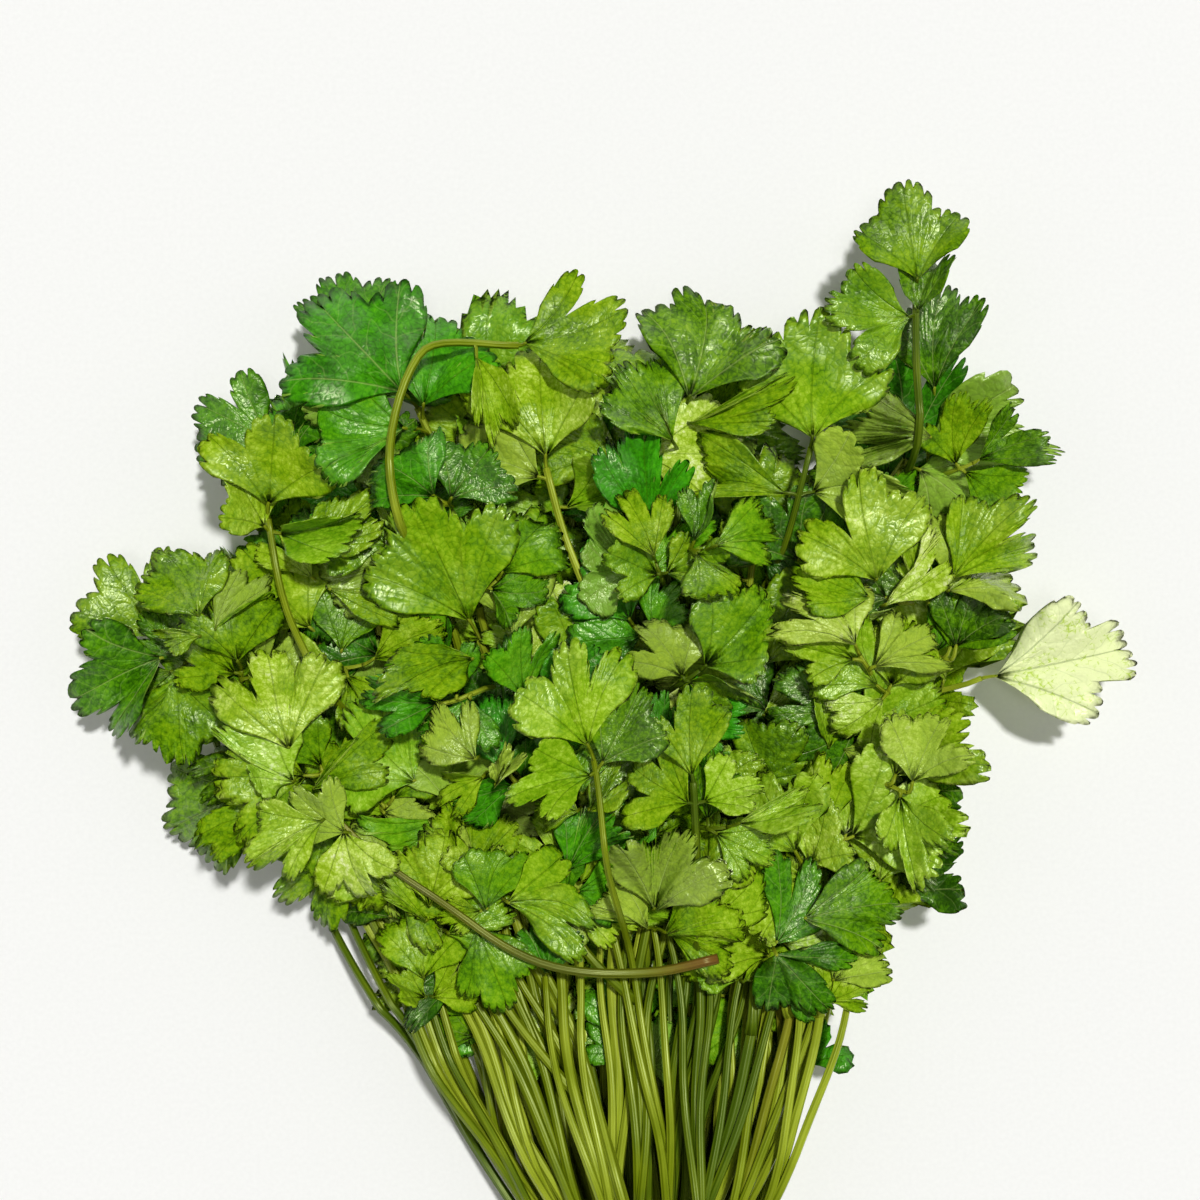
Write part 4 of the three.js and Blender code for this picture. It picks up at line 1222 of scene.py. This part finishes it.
def waxy_leaf(leaf):
    """Coriander leaf: a thin living blade under a natural wax bloom.

    The wax breaks the light into fine satin glints. The blade is mottled, its veins are sunk, dark
    on a light leaf and pale on a dark one, and its underside is paler and greyer."""
    material, shader, add = new_material(
        "coriander_leaf_waxy", IOR=1.5, Specular_Tint=linear("#eff8ca")
    )
    tree = material.node_tree
    tone = add("Attribute", attribute_name="leaf_tone").outputs["Fac"]
    emerald = add("Attribute", attribute_name="leaf_emerald").outputs["Fac"]
    under = add("Attribute", attribute_name="leaf_underside").outputs["Fac"]
    place = add("TexCoord").outputs["Object"]

    # Mottling: clouds, specks and the net of the finest veins, as steps from deep to bleached.
    clouds = add("TexNoise", {"Vector": place, "Scale": LEAF_CLOUDS, "Detail": 3, "Roughness": 0.6})
    specks = add("TexNoise", {"Vector": place, "Scale": LEAF_SPECKS, "Detail": 1})
    plan = add("UVMap", uv_map="LeafPlan")
    net = add(
        "TexVoronoi",
        {"Vector": plan.outputs[0], "Scale": VEIN_NET},
        voronoi_dimensions="2D",
        feature="DISTANCE_TO_EDGE",
    )
    shift = add("MapRange", [clouds, 0.25, 0.75, -0.22, 0.22])
    fine = add("MapRange", [specks, 0.3, 0.7, -0.15, 0.15])
    netted = add("MapRange", [net, 0, 0.12, -0.13, 0.03])
    mottled = add("Math", [add("Math", [add("Math", [tone, shift]), fine]), netted])
    # A tone of 1 is the palest green, one stop short of the ramp's end.
    greens = (leaf.deep, leaf.dark, leaf.green, leaf.fresh, leaf.pale, leaf.palest, leaf.bleached)
    emeralds = (leaf.emerald_dark, leaf.emerald, leaf.emerald_pale)
    steps = len(greens) - 1
    scaled = add("Math", [mottled, (steps - 1) / steps], operation="MULTIPLY")
    green = add("ValToRGB", [scaled], stops=greens).outputs[0]
    vivid = add("ValToRGB", [mottled], stops=emeralds).outputs[0]
    blade = add("Mix", {0: emerald, 6: green, 7: vivid}, data_type="RGBA").outputs[2]
    below = add("Mix", {0: GREYED, 6: blade, 7: leaf.underside}, data_type="RGBA").outputs[2]
    blade = add("Mix", {0: under, 6: blade, 7: below}, data_type="RGBA").outputs[2]

    # Veins, on the leaflet's flat plan: one along each lobe, and slanted ones on both sides of it.
    split = add("SeparateXYZ", [plan])
    angle = add("Math", [split.outputs[0], split.outputs[1]], operation="ARCTAN2")
    lobe = add("Math", [add("Math", [angle, LOBE_SPREAD], operation="DIVIDE")], operation="ROUND")
    lobe = add("Clamp", [lobe, -1, 1])
    turn = add("Math", [lobe, LOBE_SPREAD], operation="MULTIPLY")
    turned = add("VectorRotate", {"Vector": plan.outputs[0], "Angle": turn}, rotation_type="Z_AXIS")
    split = add("SeparateXYZ", [turned])
    across, along = add("Math", [split.outputs[0]], operation="ABSOLUTE"), split.outputs[1]
    width = add("Math", [along, -VEIN_TAPER, VEIN_WIDTH], operation="MULTIPLY_ADD")
    main = add("MapRange", [add("Math", [across, width], operation="DIVIDE"), 0.2, 1, 1, 0])
    bowed = add("TexNoise", {"Vector": plan.outputs[0], "Scale": VEIN_BOWS, "Detail": 1})
    bowed = add("Math", [bowed, SIDE_VEIN_BOW, along], operation="MULTIPLY_ADD")
    slanted = add("Math", [across, -SIDE_VEIN_SLANT, bowed], operation="MULTIPLY_ADD")
    row = add("Math", [add("Math", [slanted, SIDE_VEINS], operation="MULTIPLY")], operation="FRACT")
    middle = add("Math", [add("Math", [row, 0.5], operation="SUBTRACT")], operation="ABSOLUTE")
    side = add("MapRange", [middle, 0.01, 0.06, 0.4, 0])
    vein = add("Math", [main, side], operation="MAXIMUM")
    dark = add("Mix", {0: DARK_VEIN, 6: blade, 7: leaf.vein}, data_type="RGBA").outputs[2]
    pale = add("Mix", {0: PALE_VEIN, 6: blade, 7: leaf.vein_pale}, data_type="RGBA").outputs[2]
    light = add("Math", [tone, PALE_VEIN_TONE], operation="GREATER_THAN")
    veins = add("Mix", {0: light, 6: pale, 7: dark}, data_type="RGBA").outputs[2]
    veins = add("Mix", {0: under, 6: veins, 7: pale}, data_type="RGBA").outputs[2]
    blade = add("Mix", {0: vein, 6: blade, 7: veins}, data_type="RGBA").outputs[2]
    tree.links.new(blade, shader.inputs["Base Color"])

    # Relief: broad puckers, the wax's grain, sunk main veins, and a blade that bulges in the net's
    # meshes and between the side veins.
    grain = add("TexNoise", {"Vector": place, "Scale": WAX_GRAIN, "Detail": 1})
    puckers = add("TexNoise", {"Vector": place, "Scale": LEAF_PUCKERS, "Detail": 1})
    meshes = add("MapRange", [net, 0, 0.3, 0, 0.15], interpolation_type="SMOOTHSTEP")
    puffed = add("MapRange", [middle, 0, 0.35, 0, 0.45], interpolation_type="SMOOTHSTEP")
    relief = add("Math", [puckers, 2, puffed], operation="MULTIPLY_ADD")
    relief = add("Math", [relief, meshes])
    relief = add("Math", [grain, 0.12, relief], operation="MULTIPLY_ADD")
    relief = add("Math", [main, -0.5, relief], operation="MULTIPLY_ADD")
    bump = add("Bump", {"Height": relief, "Strength": 0.8, "Distance": 0.0004})
    tree.links.new(bump.outputs[0], shader.inputs["Normal"])

    # Wax: whole and shiny in patches, rubbed dull between them.
    patches = add("TexNoise", {"Vector": place, "Scale": WAX_PATCHES, "Detail": 2})
    waxed = add("MapRange", [patches, 0.42, 0.6], interpolation_type="SMOOTHSTEP")
    gloss = add("MapRange", [waxed, 0, 1, 0.08, 1.1])
    tree.links.new(gloss.outputs[0], shader.inputs["Specular IOR Level"])
    worn = add("MapRange", [waxed, 0, 1, 0.5, 0.3])
    rough = add("Math", [grain, 0.1, worn], operation="MULTIPLY_ADD")
    tree.links.new(rough.outputs[0], shader.inputs["Roughness"])
    return material


STEM_RIBS = 6  # round a stem, 1.5 mm apart
STEM_STREAKS = (22, 5, 1)  # 0.5 mm across and 20 mm along a stem
STEM_CLOUDS = 45  # 22 mm
BLUSH = 0.75  # how far a reddened stem takes the red


def fresh_stem(stem):
    """Coriander stem: a juicy ribbed stalk with a smooth skin.

    It shines in long thin lines on its ribs. An older one has a reddish blush, which is stronger
    higher up, and the pith shows pale at a cut end."""
    material, shader, add = new_material(
        "coriander_stem_fresh", IOR=1.45, Specular_IOR_Level=0.5, Specular_Tint=linear("#e6f0a8")
    )
    tree = material.node_tree
    height = add("Attribute", attribute_name="stem_height").outputs["Fac"]
    cut = add("Attribute", attribute_name="stem_cut").outputs["Fac"]
    tone = add("Attribute", attribute_name="stem_tone").outputs["Fac"]
    red = add("Attribute", attribute_name="stem_red").outputs["Fac"]
    place = add("TexCoord").outputs["Object"]
    plan = add("UVMap", uv_map="StemPlan")

    # Clouds, streaks drawn out along the stem, and its ribs.
    clouds = add("TexNoise", {"Vector": place, "Scale": STEM_CLOUDS, "Detail": 3})
    stretched = add("Mapping", {"Vector": plan.outputs[0], "Scale": STEM_STREAKS})
    streaks = add("TexNoise", {"Vector": stretched.outputs[0], "Scale": 1, "Detail": 2})
    turn = add("SeparateXYZ", [plan]).outputs[0]
    around = add("Math", [turn, 2 * math.pi * STEM_RIBS], operation="MULTIPLY")
    ribs = add("Math", [around], operation="SINE")
    shade = add("Math", [add("MapRange", [clouds, 0.3, 0.7, -0.25, 0.25]), tone])
    shade = add("Math", [add("MapRange", [streaks, 0.3, 0.7, -0.18, 0.18]), shade])
    skin = add("ValToRGB", [shade], stops=(stem.dark, stem.green, stem.pale)).outputs[0]
    redder = add("Mix", {0: BLUSH, 6: skin, 7: stem.red}, data_type="RGBA").outputs[2]
    higher = add("MapRange", [height, 0.35, 0.9, 0.15, 1])
    blush = add("Math", [red, higher], operation="MULTIPLY")
    skin = add("Mix", {0: blush, 6: skin, 7: redder}, data_type="RGBA").outputs[2]
    skin = add("Mix", {0: cut, 6: skin, 7: stem.cut_end}, data_type="RGBA").outputs[2]
    tree.links.new(skin, shader.inputs["Base Color"])
    relief = add("Math", [streaks, 0.8, ribs], operation="MULTIPLY_ADD")
    bump = add("Bump", {"Height": relief, "Strength": 0.35, "Distance": 0.0003})
    tree.links.new(bump.outputs[0], shader.inputs["Normal"])
    rough = add("MapRange", [streaks, 0.3, 0.7, 0.28, 0.42])
    tree.links.new(rough.outputs[0], shader.inputs["Roughness"])
    return material


RUBBER_LINES = (60, 4, 1)  # 0.2 mm across the strip and 25 mm along it
RUBBER_POWDER = 1500  # 0.7 mm, coarser than the real one, which is too fine to show


def natural_rubber(band):
    """Natural rubber band: extruded, cut and vulcanised, undyed.

    It is tan and very slightly clear, dull, dusted with fine powder and lined lengthwise."""
    material, shader, add = new_material(
        "natural_rubber_extruded", IOR=1.52, Subsurface_Weight=0.15, Subsurface_Scale=0.001
    )
    tree = material.node_tree
    place = add("TexCoord").outputs["Object"]
    plan = add("UVMap", uv_map="BandPlan")
    stretched = add("Mapping", {"Vector": plan.outputs[0], "Scale": RUBBER_LINES})
    lines = add("TexNoise", {"Vector": stretched.outputs[0], "Scale": 1, "Detail": 3})
    powder = add("TexNoise", {"Vector": place, "Scale": RUBBER_POWDER, "Detail": 2})
    shade = add("Math", [add("MapRange", [powder, 0.4, 0.7, -0.1, 0.3]), lines])
    colour = add("ValToRGB", [shade], stops=(band.deep, band.tan, band.pale))
    tree.links.new(colour.outputs[0], shader.inputs["Base Color"])
    relief = add("Math", [powder, 0.3, lines], operation="MULTIPLY_ADD")
    bump = add("Bump", {"Height": relief, "Strength": 0.5, "Distance": 0.0002})
    tree.links.new(bump.outputs[0], shader.inputs["Normal"])
    rough = add("MapRange", [powder, 0.3, 0.7, 0.5, 0.72])
    tree.links.new(rough.outputs[0], shader.inputs["Roughness"])
    return material


PAPER_FIBRE = 900  # 1.1 mm


def matt_paper(colour):
    """Uncoated paper sweep: pale and matt, with only a faint fibre."""
    material, shader, add = new_material("matt_paper_uncoated", Roughness=0.95)
    place = add("TexCoord").outputs["Object"]
    fibre = add("TexNoise", {"Vector": place, "Scale": PAPER_FIBRE})
    paler = add("MapRange", [fibre, 0.3, 0.7, 0.97, 1])
    tint = add("Mix", {0: paler, 6: (0, 0, 0, 1), 7: colour}, data_type="RGBA").outputs[2]
    material.node_tree.links.new(tint, shader.inputs["Base Color"])
    return material


# Stage -------------------------------------------------------------------------------------------

VIEW_X, VIEW_Y, VIEW_Z = -0.0125, 0.192, 0.030  # what the camera looks at
FLOOR_SIZE = 60  # in metres, as the places above are
LIGHTS = (  # name, width in degrees, strength and where it comes from
    ("key", 4, 2.5, (0.17, 0.28, 1)),
    ("front", 12, 0.3, (0.02, -0.08, 1)),
    ("fill_left", 40, 0.12, (-1, -0.1, 1)),
    ("fill_right", 40, 0.12, (1, -0.1, 1)),
)
# How bright the white walls and the dim ceiling are, and between which heights one turns to the
# other, with 1 straight above.
SKY_LOW, SKY_HIGH, SKY_EDGE = 0.88, 0.12, (0.12, 0.4)


def make_floor(colour):
    half = FLOOR_SIZE / 2 / MM
    corners = [(-half, -half, 0), (half, -half, 0), (half, half, 0), (-half, half, 0)]
    make_piece("floor", corners, [(0, 1, 2, 3)], matt_paper(colour))


def aim_camera(height, view_width):
    data = bpy.data.cameras.new("camera")
    data.lens = data.sensor_width * (height - VIEW_Z) / view_width
    camera = bpy.data.objects.new("camera", data)
    camera.location = (VIEW_X, VIEW_Y, height)
    bpy.context.scene.collection.objects.link(camera)
    bpy.context.scene.camera = camera


def hang_light(name, width, strength, source):
    data = bpy.data.lights.new(name, "SUN")
    data.angle = math.radians(width)
    data.energy = strength
    lamp = bpy.data.objects.new(name, data)
    lamp.rotation_euler = Vector(source).to_track_quat("Z", "Y").to_euler()
    bpy.context.scene.collection.objects.link(lamp)


def make_sky():
    world = bpy.data.worlds.new("studio")
    world.use_nodes = True
    tree = world.node_tree
    up = add_node(tree, "SeparateXYZ", [add_node(tree, "TexCoord").outputs["Generated"]]).outputs[2]
    glow = add_node(tree, "MapRange", [up, *SKY_EDGE, SKY_LOW, SKY_HIGH])
    background = tree.nodes["Background"]
    background.inputs["Color"].default_value = (1, 1, 1, 1)
    tree.links.new(glow.outputs[0], background.inputs["Strength"])
    bpy.context.scene.world = world
    bpy.context.scene.view_settings.view_transform = "Standard"


# Settings ----------------------------------------------------------------------------------------


def colour_setting(name, description, hex_colour):
    return FloatVectorProperty(
        name=name,
        description=description,
        default=linear(hex_colour),
        subtype="COLOR",
        size=4,
        min=0,
        max=1,
    )


def length_setting(name, description, metres):
    return FloatProperty(
        name=name, description=description, default=metres, min=0, unit="LENGTH", subtype="DISTANCE"
    )


class LeafSettings(bpy.types.PropertyGroup):
    highest: length_setting("Height of the pile", "How high the leaves lie above the table", 0.0585)
    thickness: length_setting("Thickness", "How thick a leaf's blade is", 0.00028)
    deep: colour_setting("Deep", "The darkest mottling of a leaf", "#264404")
    dark: colour_setting("Dark", "A dark leaf", "#446a04")
    green: colour_setting("Green", "A usual leaf", "#658f05")
    fresh: colour_setting("Fresh", "A lighter leaf", "#80a50a")
    pale: colour_setting("Pale", "A pale leaf", "#98b922")
    palest: colour_setting("Palest", "The palest mottling of a leaf", "#bfd95a")
    bleached: colour_setting("Bleached", "A leaf that has lost most of its green", "#e9f2b4")
    emerald_dark: colour_setting("Dark emerald", "The mottling of a vivid leaf", "#225f04")
    emerald: colour_setting("Emerald", "A vivid leaf", "#369a0a")
    emerald_pale: colour_setting("Pale emerald", "The lighter side of a vivid leaf", "#66be1c")
    underside: colour_setting("Underside", "The greyer green of a leaf's underside", "#b3c552")
    vein: colour_setting("Vein", "Sunk veins on a light leaf", "#4c7405")
    vein_pale: colour_setting("Pale vein", "Veins on a dark leaf and below", "#b6cd70")


class StemSettings(bpy.types.PropertyGroup):
    width: length_setting("Width", "How thick a stem is at the band", 0.0032)
    dark: colour_setting("Dark", "The darkest streaks of a stem", "#48600a")
    green: colour_setting("Green", "A usual stem", "#76870c")
    pale: colour_setting("Pale", "The palest streaks of a stem", "#a1b02d")
    red: colour_setting("Red", "The blush of an older stem", "#7a3f26")
    cut_end: colour_setting("Cut end", "The pale pith where a stem was cut", "#c3c98c")


class BandSettings(bpy.types.PropertyGroup):
    width: length_setting("Width", "How wide the rubber strip is", 0.0021)
    thickness: length_setting("Thickness", "How thick the rubber strip is", 0.0011)
    deep: colour_setting("Deep", "The darkest lines of the rubber", "#a97f4a")
    tan: colour_setting("Tan", "The rubber itself", "#c79a63")
    pale: colour_setting("Pale", "Powder left on the rubber", "#dcbf95")


class StageSettings(bpy.types.PropertyGroup):
    floor: colour_setting("Floor", "The colour of the paper floor", "#f4f4f1")
    camera_height: length_setting("Camera height", "How high the camera is over the table", 0.55)
    view_width: length_setting("View width", "How much the camera sees from side to side", 0.3)


# Operators ---------------------------------------------------------------------------------------


def laid_bunch(scene):
    """The bunch as the scene's settings ask for it."""
    return grown_bunch(scene.coriander_stem.width / MM, scene.coriander_leaf.highest / MM)


class CORIANDER_OT_stage(bpy.types.Operator):
    """Lays the paper floor, and sets the camera straight above and the soft lights"""

    bl_idname = "coriander.stage"
    bl_label = "Stage"

    def execute(self, context):
        settings = context.scene.coriander_stage
        make_floor(settings.floor)
        aim_camera(settings.camera_height, settings.view_width)
        for light in LIGHTS:
            hang_light(*light)
        make_sky()
        return {"FINISHED"}


class CORIANDER_OT_stems(bpy.types.Operator):
    """Lays every sprig's stem, twigs and stalks"""

    bl_idname = "coriander.stems"
    bl_label = "Stems"

    def execute(self, context):
        material = fresh_stem(context.scene.coriander_stem)
        for sprig in laid_bunch(context.scene):
            stem_piece(sprig, material)
        return {"FINISHED"}


class CORIANDER_OT_leaves(bpy.types.Operator):
    """Grows every sprig's leaves"""

    bl_idname = "coriander.leaves"
    bl_label = "Leaves"

    def execute(self, context):
        leaf = context.scene.coriander_leaf
        material = waxy_leaf(leaf)
        for sprig in laid_bunch(context.scene):
            leaves_piece(sprig, leaf.thickness / MM, material)
        return {"FINISHED"}


class CORIANDER_OT_band(bpy.types.Operator):
    """Winds the rubber band round the stems"""

    bl_idname = "coriander.band"
    bl_label = "Rubber band"

    def execute(self, context):
        band = context.scene.coriander_band
        sizes = (band.width / MM, band.thickness / MM)
        band_piece(laid_bunch(context.scene), *sizes, natural_rubber(band))
        return {"FINISHED"}


class CORIANDER_PT_bunch(bpy.types.Panel):
    bl_idname = "CORIANDER_PT_bunch"
    bl_label = "Coriander bunch"
    bl_space_type = "VIEW_3D"
    bl_region_type = "UI"
    bl_category = "Coriander"

    def draw(self, context):
        for operator, settings in zip(OPERATORS, SETTINGS):
            box = self.layout.box()
            box.operator(operator.bl_idname)
            group = getattr(context.scene, settings)
            for name in group.__annotations__:
                box.prop(group, name)


OPERATORS = (CORIANDER_OT_stage, CORIANDER_OT_stems, CORIANDER_OT_leaves, CORIANDER_OT_band)
SETTINGS = {
    "coriander_stage": StageSettings,
    "coriander_stem": StemSettings,
    "coriander_leaf": LeafSettings,
    "coriander_band": BandSettings,
}
CLASSES = (*SETTINGS.values(), *OPERATORS, CORIANDER_PT_bunch)


def register():
    for cls in CLASSES:
        bpy.utils.register_class(cls)
    for name, group in SETTINGS.items():
        setattr(bpy.types.Scene, name, PointerProperty(type=group))


def unregister():
    for name in SETTINGS:
        delattr(bpy.types.Scene, name)
    for cls in reversed(CLASSES):
        bpy.utils.unregister_class(cls)


def main():
    register()
    bpy.ops.coriander.stage()
    bpy.ops.coriander.stems()
    bpy.ops.coriander.leaves()
    bpy.ops.coriander.band()
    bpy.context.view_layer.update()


if __name__ == "__main__":
    main()
